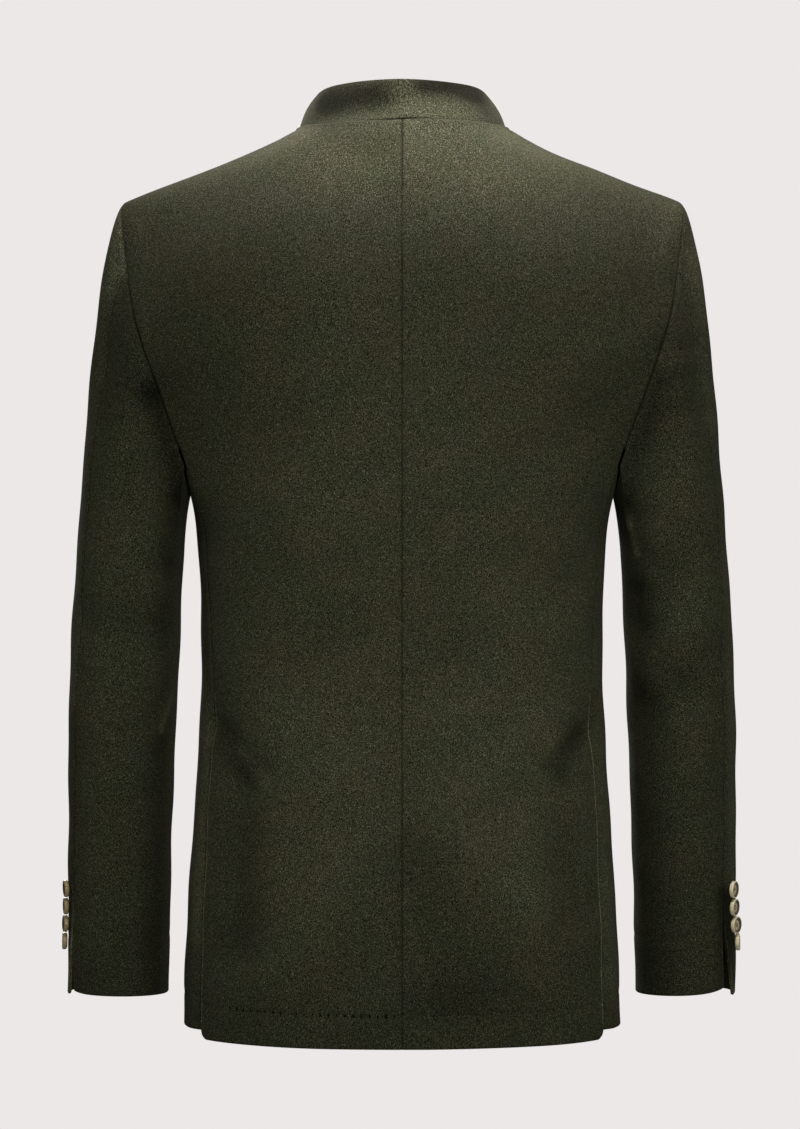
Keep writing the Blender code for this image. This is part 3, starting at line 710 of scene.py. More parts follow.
    def neck_roll(self, edge: Points, distance: Points) -> Points:
        """Height of the lip that the seam allowance raises along the neckline, lower at the centre back.

        Args:
            edge: Points of the border that holds the neckline.
            distance: Distance of every point of the piece from that border.

        Returns:
            Height of the lip at every point.
        """
        x = np.abs(edge[:, 0])
        lower = self.neck_lip_lower * bell(x, self.neck_seam_half)
        beside = bell(np.maximum(0.0, x - self.neck_half_width), self.neck_lip_fade)
        weight = (1.0 - lower) * beside
        return self.neck_lip * weight * bell(distance - self.neck_lip_place, self.neck_lip_reach)

    def neck_groove(self, edge: Points) -> Points:
        """Depth of the neck seam's groove, which only shows near the centre back."""
        near = bell(edge[:, 0], self.neck_seam_half) ** 2 * (edge[:, 1] > 0.0)
        return self.neck_groove_centre * near + self.neck_groove_least

    def armhole_groove(self, height: Points) -> Points:
        """Depth of the armhole seam's groove at heights, which deepens towards the arm's underside."""
        low = ease((self.armhole_groove_top - height) / self.armhole_groove_ease)
        return (self.armhole_groove_high + self.armhole_groove_low * low
                - self.armhole_groove_tip * bell(height - self.shoulder_tip[2], self.armhole_groove_start))

    def with_round_corner(self, grid: Points) -> Points:
        """Turn the back's hem up in a round corner at the vent.

        Args:
            grid: Grid of the back.

        Returns:
            The same grid with its corner raised.
        """
        across = np.array([lengths_along(row) for row in grid])
        near = np.clip((across[:, -1:] - across) / self.hem_corner, 0.0, 1.0)
        rise = self.hem_corner * (1.0 - np.sqrt(1.0 - (1.0 - near) ** 2))
        fade = ease(1.0 - self.stations / self.hem_corner_reach)
        grid[:, :, 2] += rise * fade[:, None]
        return grid

    def armhole(self) -> Points:
        """Armhole from the shoulder tip down the back, under the arm and up the front to the tip."""
        return np.vstack([self.back.grid[self.underarm:, -1][::-1], self.side.grid[-1, 1:-1],
                          self.front.grid[self.underarm:, 0]])

    def panels(self) -> list[Panel]:
        """The body's cut pieces."""
        return [self.back, self.side, self.front]


@dataclass
class Collar:
    """Stand collar, built as its left half from the centre back and mirrored to one strip."""

    body: Body
    wall: float = 0.003
    height: float = 0.034
    sag: float = 0.0024
    sag_half: float = 0.050
    side_drop: float = 0.0028
    side_fullness: float = 0.0024
    side_reach: float = 0.035
    leans: tuple[Lean, ...] = (Lean(0.000, -0.009, 0.0318), Lean(0.0160, -0.003, 0.0315),
                               Lean(0.000, 0.006, 0.0340))

    def panel(self) -> Panel:
        """Build the collar on both necklines.

        Returns:
            Its left half.
        """
        body = self.body
        neck = len(body.neck_lines) - 1
        lap = len(body.front_neck_lines) - 1
        front_top = body.front.grid[-1, body.neck_column:]
        end = int(np.argmin(np.abs(front_top[:, 0] - body.collar_end_x)))
        half = np.vstack([body.back.grid[-1, :neck + 1], front_top[1:end + 1]])
        corner = body.coarse_columns
        past_lap = (body.overlap - front_top[lap + 1:end + 1, 0]) / (body.overlap - body.collar_end_x)
        columns = np.concatenate([corner * body.neck_lines, corner + (corner - 1) * body.front_neck_lines[1:],
                                  2 * corner - 1 + past_lap])
        leans = spline([0, corner, 2 * corner], self.leans, columns)
        rise = lines_between(0.0, 1.0, self.height)
        grid = half + rise[:, None, None] * leans * MIRROR
        beside = bell(half[:, 1] - body.neck_point_y, self.side_reach)
        grid[:, :, 2] -= self.side_drop * rise[:, None] ** 2 * beside
        panel = Panel("collar", grid, self.wall, Cut(0.541, 0.035, 0.0167),
                      BODY_NODES, {Border.FIRST_ROW: Edge(1.0, body.neck_groove(half)),
                                   Border.LAST_ROW: Edge(0.0), Border.LAST_COLUMN: Edge(0.0)})
        hollow = self.sag * bell(half[:, 0], self.sag_half) * (half[:, 1] > 0.0)
        panel.ridge = np.sin(math.pi * rise)[:, None] * (self.side_fullness * beside - hollow)
        return panel


@dataclass
class Sleeves:
    """Upper and under sleeves, from the armhole to the cuff with its vent, built as left ones."""

    body: Body
    power: float = 2.2
    cap_fullness: float = 0.26
    cap_length: float = 0.140
    cap_out: float = 0.55
    cap_out_at_top: float = 0.25
    cap_round: float = 0.20
    cap_down: float = 0.80
    cap_level_at_top: float = 0.14
    slope_step: float = 0.001
    vent_top: float = -0.595
    vent_ease: float = 0.060
    vent_groove: float = 0.6
    vent_lit: float = 0.5
    hem_depth: float = 0.048
    head_ridge: float = 0.0015
    head_ridge_place: float = 0.0036
    head_ridge_reach: float = 0.0030
    head_ridge_low: float = -0.190
    head_ridge_ease: float = 0.060
    head_ridge_start: float = 0.014
    # The left cuff's buttons get a high warmth, which turns their horn honey brown as painted shade.
    cuffs: dict[Side, Cuff] = field(default_factory=lambda: {
        Side.LEFT: Cuff(-0.0330, 0.026, 0.004, 0.0020, 0.003, (0.00, -0.04, 0.03, -0.05), 1.3),
        Side.RIGHT: Cuff(0.0215, 0.052, -0.012, 0.0035, 0.006, (0.00, 0.05, 0.20, -0.24), 0.0)})
    rings: tuple[SleeveRing, ...] = (
        SleeveRing(-0.335, 0.2174, -0.004, 0.0426, 0.0680),
        SleeveRing(-0.440, 0.2226, -0.005, 0.0432, 0.0620),
        SleeveRing(-0.567, 0.2267, -0.020, 0.0416, 0.0550),
        SleeveRing(-0.692, 0.2288, -0.038, 0.0402, 0.0490))

    def __post_init__(self) -> None:
        """Read the heights and the seams' places round the armhole."""
        self.bicep = self.rings[0].height
        self.cuff = self.rings[-1].height
        self.armhole = self.body.armhole()
        self.share = shares_along(self.armhole)
        last = len(self.body.stations) - 1
        self.elbow = last - self.body.row_at(self.body.elbow_station)
        self.front_seam = len(self.armhole) - 1 - last + self.body.row_at(self.body.front_seam_station)
        self.elbow_share = self.share[self.elbow]

    def sizes(self, height: float) -> Points:
        """Centre and half sizes of the sleeve's section at a height."""
        return spline([-ring.height for ring in self.rings], [ring[1:] for ring in self.rings], [-height])[0]

    def ring(self, height: float, shares: Points) -> Points:
        """Section of the sleeve.

        Args:
            height: Height of the section.
            shares: Places round it, with 0 at its outer side and 0.25 at its back.

        Returns:
            The section's points at those places.
        """
        centre_x, centre_y, half_width, half_depth = self.sizes(height)
        cosine, sine = full_round(np.linspace(0.0, 2.0 * math.pi, SAMPLES + 1), self.power)
        ring = np.stack([centre_x + half_width * cosine, centre_y + half_depth * sine,
                         np.full(SAMPLES + 1, height)], axis=1)
        return resample(ring, np.mod(shares, 1.0))

    def opening(self, height: float) -> float:
        """How far the cuff vent is open at a height, from 0 at its top to 1 at the cuff's edge."""
        return max(0.0, (self.vent_top - height) / (self.vent_top - self.cuff)) ** 2

    def turned(self, height: float) -> float:
        """Share of the sleeve's turn reached at a height, from 0 at the upper arm to 1 at the cuff's edge."""
        return max(0.0, (self.bicep - height) / (self.bicep - self.cuff))

    def button_share(self, height: float, inset: float, cuff: Cuff) -> float:
        """Place round the sleeve of a button that lies an inset away from the vent's upper edge."""
        edge = self.elbow_share + cuff.turn * self.turned(height) - cuff.upper_shift * self.opening(height)
        return edge - inset

    def grid(self, armhole: Points, shares: Points, at_start: bool, turn: float, shift: float, lift: float,
             rise: float) -> Points:
        """Grid of one sleeve piece.

        Args:
            armhole: Stretch of the armhole that the piece is sewn to.
            shares: Places of its points round the sleeve.
            at_start: Whether the cuff vent lies at the first column, or at the last.
            turn: How far the sleeve turns round the arm at the cuff, as a share of its girth.
            shift: How far the vent edge stands open at the cuff, as a share of the sleeve's girth.
            lift: How far that edge lifts off.
            rise: How far that edge's corner rises at the cuff.

        Returns:
            Rows from the armhole down to the cuff.
        """
        bicep = self.ring(self.bicep, shares)
        down = (self.ring(self.bicep - self.slope_step, shares) - bicep) / self.slope_step
        bottom = self.body.armhole_bottom()[SAMPLES // 2]
        radial = unit(armhole[:, 1:] - (np.array(self.body.shoulder_tip)[1:] + bottom[1:]) / 2.0)
        leave = unit(np.stack([self.cap_out + self.cap_out_at_top * radial[:, 1], self.cap_round * radial[:, 0],
                               self.cap_level_at_top * radial[:, 1] - self.cap_down], axis=1))
        chord = np.linalg.norm(bicep - armhole, axis=1)[:, None]
        cap = lines_between(0.0, 1.0, self.cap_length, near_end=False)[:-1]
        rows = [hermite(armhole, leave * chord * self.cap_fullness, bicep, down * chord, t) for t in cap]
        arm = lines_between(self.bicep, self.vent_top, self.bicep - self.vent_top, False, False)
        depth = self.vent_top - self.cuff
        cuff = lines_between(self.vent_top, self.cuff, depth, False, True, depth - self.hem_depth)[1:]
        vent_end, far_end = (shares[0], shares[-1]) if at_start else (shares[-1], shares[0])
        nearness = ((shares - far_end) / (vent_end - far_end)) ** 3
        for height in np.concatenate([arm, cuff]):
            opening = self.opening(height)
            ring = self.ring(height, shares + turn * self.turned(height) + shift * opening * nearness)
            outward = unit(ring - np.append(self.sizes(height)[:2], height))
            row = ring + outward * (lift * opening * nearness ** 3)[:, None]
            row[:, 2] += rise * opening * nearness ** 3
            rows.append(row)
        return np.array(rows)

    def panels(self, side: Side) -> list[Panel]:
        """Build the sleeve of one arm.

        Args:
            side: Arm whose cuff it has. The grids are those of a left sleeve.

        Returns:
            The upper and the under sleeve.
        """
        elbow, seam, cuff = self.elbow, self.front_seam, self.cuffs[side]
        under = self.grid(self.armhole[elbow:seam + 1], self.share[elbow:seam + 1], True,
                          cuff.turn, cuff.under_shift, 0.0, cuff.corner_rise)
        ring = np.vstack([self.armhole[seam:], self.armhole[1:elbow + 1]])
        share = np.concatenate([self.share[seam:], 1.0 + self.share[1:elbow + 1]])
        upper = self.grid(ring, share, False, cuff.turn, -cuff.upper_shift, cuff.upper_lift, 0.0)
        made = []
        for name, grid, cut, vent_border, seam_border in (
                ("upper_sleeve", upper, Cut(0.255, 0.642, 0.0849), Border.LAST_COLUMN, Border.FIRST_COLUMN),
                ("under_sleeve", under, Cut(0.343, 0.584, 0.0869), Border.FIRST_COLUMN, Border.LAST_COLUMN)):
            closed = ease((grid[vent_border.value][:, 2] - self.vent_top) / self.vent_ease + 1.0)
            panel = Panel(name, grid, self.body.wall, cut, BODY_NODES,
                          {Border.FIRST_ROW: Edge(1.0, self.body.armhole_groove(grid[0, :, 2])),
                           Border.LAST_ROW: Edge(0.0),
                           vent_border: Edge(closed, self.vent_groove, self.vent_lit, pucker=1.0),
                           seam_border: Edge(1.0)},
                          hem=(Border.LAST_ROW, self.hem_depth))
            high = ease((grid[0, :, 2] - self.head_ridge_low) / self.head_ridge_ease)
            high = high * (1.0 - bell(grid[0, :, 2] - self.body.shoulder_tip[2], self.head_ridge_start))
            distance = panel.distances()[Border.FIRST_ROW]
            panel.ridge = self.head_ridge * high * bell(distance - self.head_ridge_place, self.head_ridge_reach)
            made.append(panel)
        return made


@dataclass
class Tailor:
    finish: Material
    gap: float = 0.0003
    same_digits: int = 6
    sharp_fold: float = math.cos(math.radians(58.0))
    blend_reach: float = 0.010
    seam_dip: float = 0.0010
    seam_reach: float = 0.0015
    seam_thinning: float = 0.45
    pucker: float = 0.00045
    pucker_reach: float = 0.0045
    pucker_pitch: float = 0.017
    pucker_drift: float = 0.061
    pucker_sway: float = 1.7
    hem_dip: float = 0.00035
    hem_reach: float = 0.0028
    edge_round: float = 0.0016
    edge_least: float = 0.22
    turned_depth: float = 0.030
    turned_layer: float = 0.0009
    turned_ease: float = 0.006
    mark_reach: float = 0.0008
    lit_place: float = 0.0007
    facing_gain: float = 2.0
    waver: float = 0.00045
    waver_share: float = 0.6
    waves: tuple[tuple[Triple, float], ...] = (
        ((61.0, 0.0, 23.0), 0.7), ((0.0, -31.0, 47.0), 1.9), ((55.0, 40.0, 97.0), 0.0))
    # Painted shade in fold troughs and painted highlight on ridges, per metre of fold height, and the most painted
    # shade on any point.
    fold_shade_gain: float = 50.0
    darkest_painted_shade: float = 0.80
    back_folds: tuple[Mark, ...] = (
        Mark(0.146, -0.464, 0.12, -0.512, 0.02, -0.003), Mark(-0.149, -0.472, -0.124, -0.506, 0.02, -0.0026),
        Mark(0.132, -0.56, 0.13, -0.645, 0.022, -0.0024), Mark(-0.134, -0.575, -0.131, -0.66, 0.024, -0.002),
        Mark(0.008, -0.535, 0.103, -0.663, 0.024, 0.0022), Mark(-0.01, -0.535, -0.109, -0.627, 0.024, 0.002),
        Mark(-0.04, -0.6, -0.042, -0.686, 0.034, -0.0022), Mark(0.236, -0.188, 0.198, -0.212, 0.018, -0.003),
        Mark(0.243, -0.394, 0.19, -0.398, 0.018, -0.0032), Mark(-0.244, -0.186, -0.199, -0.246, 0.02, -0.0026),
        Mark(-0.226, -0.33, -0.186, -0.39, 0.02, -0.003), Mark(-0.245, -0.428, -0.2, -0.462, 0.02, -0.0026),
        Mark(0.014, 0.013, 0.056, 0.01, 0.0115, -0.0052), Mark(0.146, -0.474, 0.107, -0.511, 0.0085, -0.003),
        Mark(-0.143, -0.481, -0.115, -0.508, 0.0075, -0.0032), Mark(0.126, -0.515, 0.127, -0.645, 0.0155, -0.0032),
        Mark(-0.126, -0.52, -0.128, -0.625, 0.014, -0.0024), Mark(-0.02, -0.56, -0.1, -0.62, 0.028, 0.0012),
        Mark(-0.01, -0.64, -0.023, -0.712, 0.008, 0.001), Mark(-0.008, -0.53, -0.012, -0.64, 0.024, -0.0018),
        Mark(-0.022, -0.692, -0.092, -0.69, 0.026, -0.0036), Mark(0.24, -0.19, 0.2, -0.214, 0.008, -0.0014),
        Mark(0.179, -0.444, 0.195, -0.485, 0.006, 0.0016), Mark(0.174, -0.46, 0.19, -0.5, 0.008, -0.0016),
        Mark(0.179, -0.36, 0.182, -0.405, 0.0045, 0.0012), Mark(-0.24, -0.172, -0.206, -0.178, 0.007, -0.0016),
        Mark(-0.243, -0.196, -0.204, -0.204, 0.007, -0.0018), Mark(-0.243, -0.222, -0.2, -0.229, 0.008, -0.0016),
        Mark(-0.184, -0.338, -0.206, -0.352, 0.01, -0.0018), Mark(-0.19, -0.4, -0.214, -0.44, 0.012, -0.002),
        Mark(-0.222, -0.446, -0.25, -0.456, 0.009, -0.0014), Mark(-0.183, -0.488, -0.187, -0.514, 0.0045, 0.0014),
        Mark(-0.184, -0.566, -0.187, -0.59, 0.0045, 0.0012), Mark(-0.17, -0.294, -0.181, -0.318, 0.004, 0.0012),
        Mark(-0.181, -0.318, -0.183, -0.342, 0.004, 0.0012))
    front_folds: tuple[Mark, ...] = (
        Mark(0.135, -0.47, 0.085, -0.5, 0.024, -0.0026), Mark(-0.14, -0.455, -0.09, -0.492, 0.024, -0.0022),
        Mark(0.196, -0.4, 0.248, -0.428, 0.02, -0.0034), Mark(-0.194, -0.388, -0.25, -0.415, 0.02, -0.003))
    # Strokes of painted shade (plus amount) and painted highlight (minus amount) on the cloth's colour: shade on
    # the collar, under the arms, along the armholes and in the cuff slit, and highlight on the shoulders, the
    # sleeve heads and lit edges.
    collar_painted_shade: tuple[Mark, ...] = (
        Mark(0.024, 0.023, 0.06, 0.02, 0.013, 0.42), Mark(-0.064, 0.027, 0.064, 0.027, 0.011, 0.26),
        Mark(0.066, 0.018, 0.079, 0.0, 0.011, 0.4), Mark(-0.018, 0.03, -0.056, 0.026, 0.0095, 0.6),
        Mark(-0.06, 0.025, -0.077, 0.004, 0.011, 0.4))
    sleeve_painted_light: tuple[Mark, ...] = (
        Mark(0.178, -0.295, 0.18, -0.343, 0.011, 0.46), Mark(0.183, -0.351, 0.184, -0.447, 0.011, 0.3),
        Mark(0.187, -0.471, 0.196, -0.683, 0.016, 0.44), Mark(-0.176, -0.299, -0.182, -0.359, 0.011, 0.48),
        Mark(-0.184, -0.367, -0.187, -0.447, 0.011, 0.34), Mark(-0.19, -0.455, -0.2, -0.683, 0.02, 0.36),
        Mark(0.195, -0.211, 0.172, -0.291, 0.012, 0.58), Mark(-0.202, -0.203, -0.17, -0.295, 0.011, 0.42),
        Mark(-0.257, -0.609, -0.261, -0.683, 0.0065, 0.8), Mark(0.2212, -0.072, 0.2212, -0.117, 0.0034, -0.85),
        Mark(0.226, -0.063, 0.231, -0.127, 0.008, -1.0), Mark(0.242, -0.247, 0.251, -0.647, 0.019, -0.24),
        Mark(0.25, -0.185, 0.226, -0.191, 0.008, -0.24), Mark(0.182, -0.45, 0.191, -0.478, 0.0024, -0.9),
        Mark(-0.18, -0.311, -0.185, -0.34, 0.0024, -0.8), Mark(0.258, -0.279, 0.262, -0.455, 0.005, -0.7),
        Mark(-0.262, -0.343, -0.265, -0.599, 0.005, -0.7), Mark(0.238, -0.135, 0.249, -0.239, 0.007, -0.5),
        Mark(-0.233, -0.099, -0.249, -0.239, 0.007, -0.55))
    back_painted_light: tuple[Mark, ...] = (
        Mark(0.21, -0.075, 0.198, -0.207, 0.011, -0.18), Mark(0.21, -0.057, 0.082, -0.005, 0.013, -0.34),
        Mark(-0.085, -0.007, -0.213, -0.055, 0.013, -0.26), Mark(-0.218, -0.067, -0.202, -0.099, 0.012, -0.32),
        Mark(0.124, -0.489, 0.107, -0.511, 0.009, -0.46), Mark(0.145, -0.482, 0.123, -0.511, 0.0105, 0.33),
        Mark(-0.12, -0.489, -0.11, -0.507, 0.008, -0.36), Mark(-0.141, -0.482, -0.126, -0.508, 0.009, 0.29),
        Mark(0.054, -0.007, 0.014, -0.017, 0.016, 0.24), Mark(0.17, -0.135, 0.058, -0.127, 0.04, -0.17),
        Mark(-0.126, -0.123, -0.158, -0.159, 0.036, -0.17), Mark(-0.062, -0.299, -0.15, -0.295, 0.02, 0.14),
        Mark(0.15, -0.295, 0.106, -0.315, 0.024, 0.11), Mark(-0.002, -0.471, -0.006, -0.567, 0.03, 0.14),
        Mark(-0.098, -0.551, -0.114, -0.671, 0.026, -0.14), Mark(0.082, -0.575, 0.074, -0.663, 0.03, -0.1),
        Mark(-0.07, -0.375, -0.126, -0.399, 0.026, -0.12))
    side_painted_highlight: tuple[Mark, ...] = (
        Mark(0.161, -0.447, 0.166, -0.639, 0.008, -0.8), Mark(-0.164, -0.415, -0.168, -0.679, 0.008, -0.6))
    meshes: dict[str, bpy.types.Mesh] = field(default_factory=dict)

    def join(self, panels: list[Panel]) -> None:
        """Give every panel normals that its neighbours share along flat seams.

        Points that lie on a sharper fold, such as the seam under the arm, keep their own normals.

        Args:
            panels: All cut pieces of the left half.
        """
        groups: dict[tuple, list[Points]] = {}
        places = []
        for panel in panels:
            panel.normal = panel.own_normals()
            panel.folded = np.zeros(panel.grid.shape[:2])
            for border in Border:
                line = zip(panel.grid[border.value], panel.normal[border.value])
                for number, (point, normal) in enumerate(line):
                    key = tuple(np.round(point, self.same_digits) + 0.0)
                    found = groups.setdefault(key, [])
                    for cluster, total in enumerate(found):
                        if total @ normal > self.sharp_fold * np.linalg.norm(total):
                            found[cluster] = total + normal
                            break
                    else:
                        cluster = len(found)
                        found.append(normal.copy())
                    places.append((panel, border, number, key, cluster))
        change = {panel.name: {border: np.zeros_like(panel.normal[border.value]) for border in Border}
                  for panel in panels}
        for panel, border, number, key, cluster in places:
            shared = groups[key][cluster].copy()
            if abs(key[0]) < self.gap:
                shared[0] = 0.0
            change[panel.name][border][number] = unit(shared) - panel.normal[border.value][number]
            panel.folded[border.value][number] = float(len(groups[key]) > 1)
        for panel in panels:
            self.spread(panel, change[panel.name])

    def spread(self, panel: Panel, change: dict[Border, Points]) -> None:
        """Fade the change of the normals at a panel's borders into the panel.

        Args:
            panel: Cut piece of the left half.
            change: Change at the points of each border.
        """
        distances = panel.distances()
        total = np.zeros_like(panel.normal)
        weights = np.zeros(panel.grid.shape[:2])
        for border in Border:
            weight = bell(distances[border], self.blend_reach)
            delta = change[border][None] if border.is_row else change[border][:, None]
            total += weight[:, :, None] * delta
            weights += weight
        panel.normal = unit(panel.normal + total / np.maximum(1.0, weights)[:, :, None])

    def lie(self, grid: Points, normal: Points, mark: Mark, facing: float) -> Points:
        """How near each point lies to a fold or stroke.

        Args:
            grid: Points of the piece.
            normal: Outward normals there.
            mark: Fold or stroke with its ends and width.
            facing: Side that it lies on, 1 for the back and -1 for the front.

        Returns:
            One value for each point, from 1 on the mark's line to 0 away from it and on the other side.
        """
        start = np.array([mark.start_x, mark.start_z])
        run = np.array([mark.end_x, mark.end_z]) - start
        away = grid[:, :, [0, 2]] - start
        t = np.clip(away @ run / (run @ run), 0.0, 1.0)
        distance = np.linalg.norm(away - t[:, :, None] * run, axis=2)
        return bell(distance, mark.width) * ease(self.facing_gain * facing * normal[:, :, 1])

    def fold_heights(self, grid: Points, normal: Points) -> Points:
        """Height of the folds, with a faint waver that no cloth is without.

        Args:
            grid: Points of the piece.
            normal: Outward normals there.

        Returns:
            The height at each point.
        """
        first, second, third = (np.sin(grid @ np.array(run) + start) for run, start in self.waves)
        height = self.waver * (first * second + self.waver_share * third)
        for facing, folds in ((1.0, self.back_folds), (-1.0, self.front_folds)):
            for fold in folds:
                height += fold.amount * self.lie(grid, normal, fold, facing)
        return height

    def nap(self, name: str, grid: Points, normal: Points, folds: Points) -> Points:
        """Painted shade in the folds' troughs and painted highlight on their ridges, and painted shade and
        highlight along the strokes.

        Args:
            name: Name of the piece.
            grid: Points of the piece.
            normal: Outward normals there.
            folds: Height of the folds there.

        Returns:
            Share of the colour that each point loses, or gains with a minus sign.
        """
        # Painted shade in troughs and painted highlight on ridges, then painted shade and highlight along the
        # strokes.
        dark = -self.fold_shade_gain * folds
        for word, strokes in (("collar", self.collar_painted_shade), ("sleeve", self.sleeve_painted_light),
                              ("back", self.back_painted_light), ("side", self.side_painted_highlight)):
            for stroke in strokes if word in name else ():
                dark = dark + stroke.amount * self.lie(grid, normal, stroke, 1.0)
        return np.minimum(dark, self.darkest_painted_shade)

    def work(self, panel: Panel, distances: dict[Border, Points]) -> tuple[Points, ...]:
        """Sew or turn a piece's borders, and press its hem.

        Args:
            panel: Cut piece of the left half.
            distances: Distance of every point from each border.

        Returns:
            For each point the wall's share of its thickness, how deep the cloth dips, the share of a turned layer
            behind it, how far the finish darkens it as a seam, and how much painted highlight it gets along a
            turned edge.
        """
        shape = panel.grid.shape[:2]
        thickness = np.ones(shape)
        dip, layer, sewn_mark, painted_edge_highlight = (np.zeros(shape) for _ in range(4))
        for border, edge in panel.edges.items():
            distance = distances[border]
            sewn, groove, lit, pucker = (np.asarray(value, float) for value in edge)
            if not border.is_row:
                sewn, groove = sewn[..., None], groove[..., None]
            run = distances[Border.FIRST_COLUMN if border.is_row else Border.FIRST_ROW]
            sway = self.pucker_sway * np.sin(2.0 * math.pi * run / self.pucker_drift)
            wave = np.sin(2.0 * math.pi * run / self.pucker_pitch + sway)
            rounding = np.sqrt(1.0 - (1.0 - np.clip(distance / self.edge_round, 0.0, 1.0)) ** 2)
            least = sewn * (1.0 - self.seam_thinning * groove) + (1.0 - sewn) * self.edge_least
            thickness = thickness * (least + (1.0 - least) * rounding)
            dip += self.seam_dip * sewn * groove * bell(distance, self.seam_reach)
            dip += self.pucker * sewn * pucker * wave * bell(distance, self.pucker_reach)
            sewn_mark = np.maximum(sewn_mark, sewn * groove * bell(distance, self.mark_reach))
            # Painted highlight in a thin band just inside a turned, free edge.
            edge_highlight_band = bell(distance - self.lit_place, self.mark_reach)
            painted_edge_highlight = np.maximum(painted_edge_highlight, (1.0 - sewn) * lit * edge_highlight_band)
            layer = np.maximum(layer, (1.0 - sewn) * ease((self.turned_depth - distance) / self.turned_ease))
        if panel.hem:
            dip += self.hem_dip * bell(distances[panel.hem[0]] - panel.hem[1], self.hem_reach)
        return thickness, dip, layer, sewn_mark, painted_edge_highlight

    def sew(self, panel: Panel, side: Side) -> Piece:
        """Args:
            panel: Cut piece of the left half.
            side: Half that the piece is made for, or both for a strip that runs over the centre.

        Returns:
            The finished piece.
        """
        distances = panel.distances()
        thickness, dip, layer, sewn, turned = self.work(panel, distances)
        half = panel.wall / 2.0 * thickness
        layer = layer * self.turned_layer * thickness
        drop = panel.right_drop if side is Side.RIGHT else panel.drop
        offset = panel.ridge - dip - drop - panel.folded * self.gap / 2.0 - panel.wall / 2.0
        grid, normal = panel.grid, panel.normal
        across, along = distances[Border.FIRST_COLUMN], distances[Border.FIRST_ROW]
        values = [along, offset, half, layer, sewn, turned]
        if side is Side.RIGHT:
            grid, normal = grid * MIRROR, normal * MIRROR
        if side is Side.BOTH:
            grid, normal, across = over_both(grid, MIRROR), over_both(normal, MIRROR), over_both(across, -1.0)
            values = [over_both(value) for value in values]
        along, offset, half, layer, sewn, turned = values
        folds = self.fold_heights(grid, normal)
        middle = grid + normal * (offset + folds)[:, :, None]
        outer = middle + normal * half[:, :, None]
        inner = middle - normal * (half + layer)[:, :, None]
        node = panel.name + side.value
        # Kept for the finish: dark seam lines, a painted highlight along turned edges, and the painted shade and
        # highlight of folds and strokes.
        piece = self.wall(f"{node}_cloth", outer, inner, side is Side.RIGHT, np.stack([across, along], axis=2),
                          {"sewn": sewn, "turned": turned, "nap": self.nap(panel.name, grid, normal, folds)})
        piece.data.materials.append(self.finish)
        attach(piece, "root")
        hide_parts(node)
        self.meshes[node] = piece.data
        return piece

    @staticmethod
    def wall(name: str, outer: Points, inner: Points, mirrored: bool, weave: Points,
             marks: dict[str, Points]) -> Piece:
        """Closed wall between an outer and an inner grid.

        Args:
            name: Name of the piece.
            outer: Points of the outer face.
            inner: Points of the inner face.
            mirrored: Whether the grid is a mirror image, which turns its faces round.
            weave: Distances across and along the cloth, kept as its UV map.
            marks: Values kept on the points for the finish.

        Returns:
            The piece as an object in the scene.
        """
        rows, columns = outer.shape[:2]
        behind = rows * columns
        index = np.arange(behind).reshape(rows, columns)
        quads = np.stack([index[:-1, :-1], index[1:, :-1], index[1:, 1:], index[:-1, 1:]], axis=2).reshape(-1, 4)
        rim = np.concatenate([index[:-1, 0], index[-1, :-1], index[:0:-1, -1], index[0, :0:-1]])
        after = np.roll(rim, -1)
        sides = np.stack([after, rim, rim + behind, after + behind], axis=1)
        faces = np.vstack([quads, quads[:, ::-1] + behind, sides])
        faces = faces[:, ::-1] if mirrored else faces
        points = np.vstack([outer.reshape(-1, 3), inner.reshape(-1, 3)])
        piece = add_mesh(name, points.tolist(), faces.tolist())
        piece.data.shade_smooth()
        flat = np.tile(weave.reshape(-1, 2), (2, 1))[faces.reshape(-1)]
        piece.data.uv_layers.new(name="weave").uv.foreach_set("vector", flat.astype(np.float32).reshape(-1))
        for label, value in marks.items():
            keep_on_points(piece.data, label, np.tile(value.reshape(-1), 2))
        return piece


class Value:
    """Shader socket that takes part in Python arithmetic."""

    def __init__(self, graph: "Graph", socket: Socket) -> None:
        """Wrap a socket of a graph."""
        self.graph = graph
        self.socket = socket

    def math(self, operation: str, *others: Any) -> "Value":
        """Result of a Math node on this value and others."""
        return self.graph.math(operation, self, *others)

    def __add__(self, other: Any) -> "Value":
        """Sum."""
        return self.math("ADD", other)

    def __rsub__(self, other: Any) -> "Value":
        """Difference from a number."""
        return self.graph.math("SUBTRACT", other, self)

    def __mul__(self, other: Any) -> "Value":
        """Product."""
        return self.math("MULTIPLY", other)

    __radd__ = __add__
    __rmul__ = __mul__

    def band(self, low: float, high: float) -> "Value":
        """Smooth step from 0 at low to 1 at high."""
        node = self.graph.node("ShaderNodeMapRange", {"interpolation_type": "SMOOTHSTEP"},
                               {"Value": self, "From Min": low, "From Max": high})
        return Value(self.graph, node.outputs["Result"])


class Wiring:
    """Node tree whose nodes are added with their settings and sockets in one call each."""

    def __init__(self, tree: bpy.types.NodeTree) -> None:
        """Take up a tree."""
        self.tree = tree

    def feed(self, socket: Socket, value: Any) -> None:
        """Set or link a node's socket.

        Args:
            socket: The socket.
            value: Value or socket to link to it, or number, colour or material to set on it.
        """
        if isinstance(value, Value):
            value = value.socket
        if isinstance(value, Socket):
            self.tree.links.new(value, socket)
        else:
            socket.default_value = value

    def node(self, kind: str, settings: Union[dict, None] = None,
             values: Union[dict, None] = None) -> bpy.types.Node:
        """Add a node.

        Args:
            kind: Type of the node.
            settings: Its own settings, set first.
            values: Values or links of its sockets, by name or number.

        Returns:
            The node.
        """
        made = self.tree.nodes.new(kind)
        for key, setting in (settings or {}).items():
            setattr(made, key, setting)
        for key, value in (values or {}).items():
            self.feed(made.inputs[key], value)
        return made

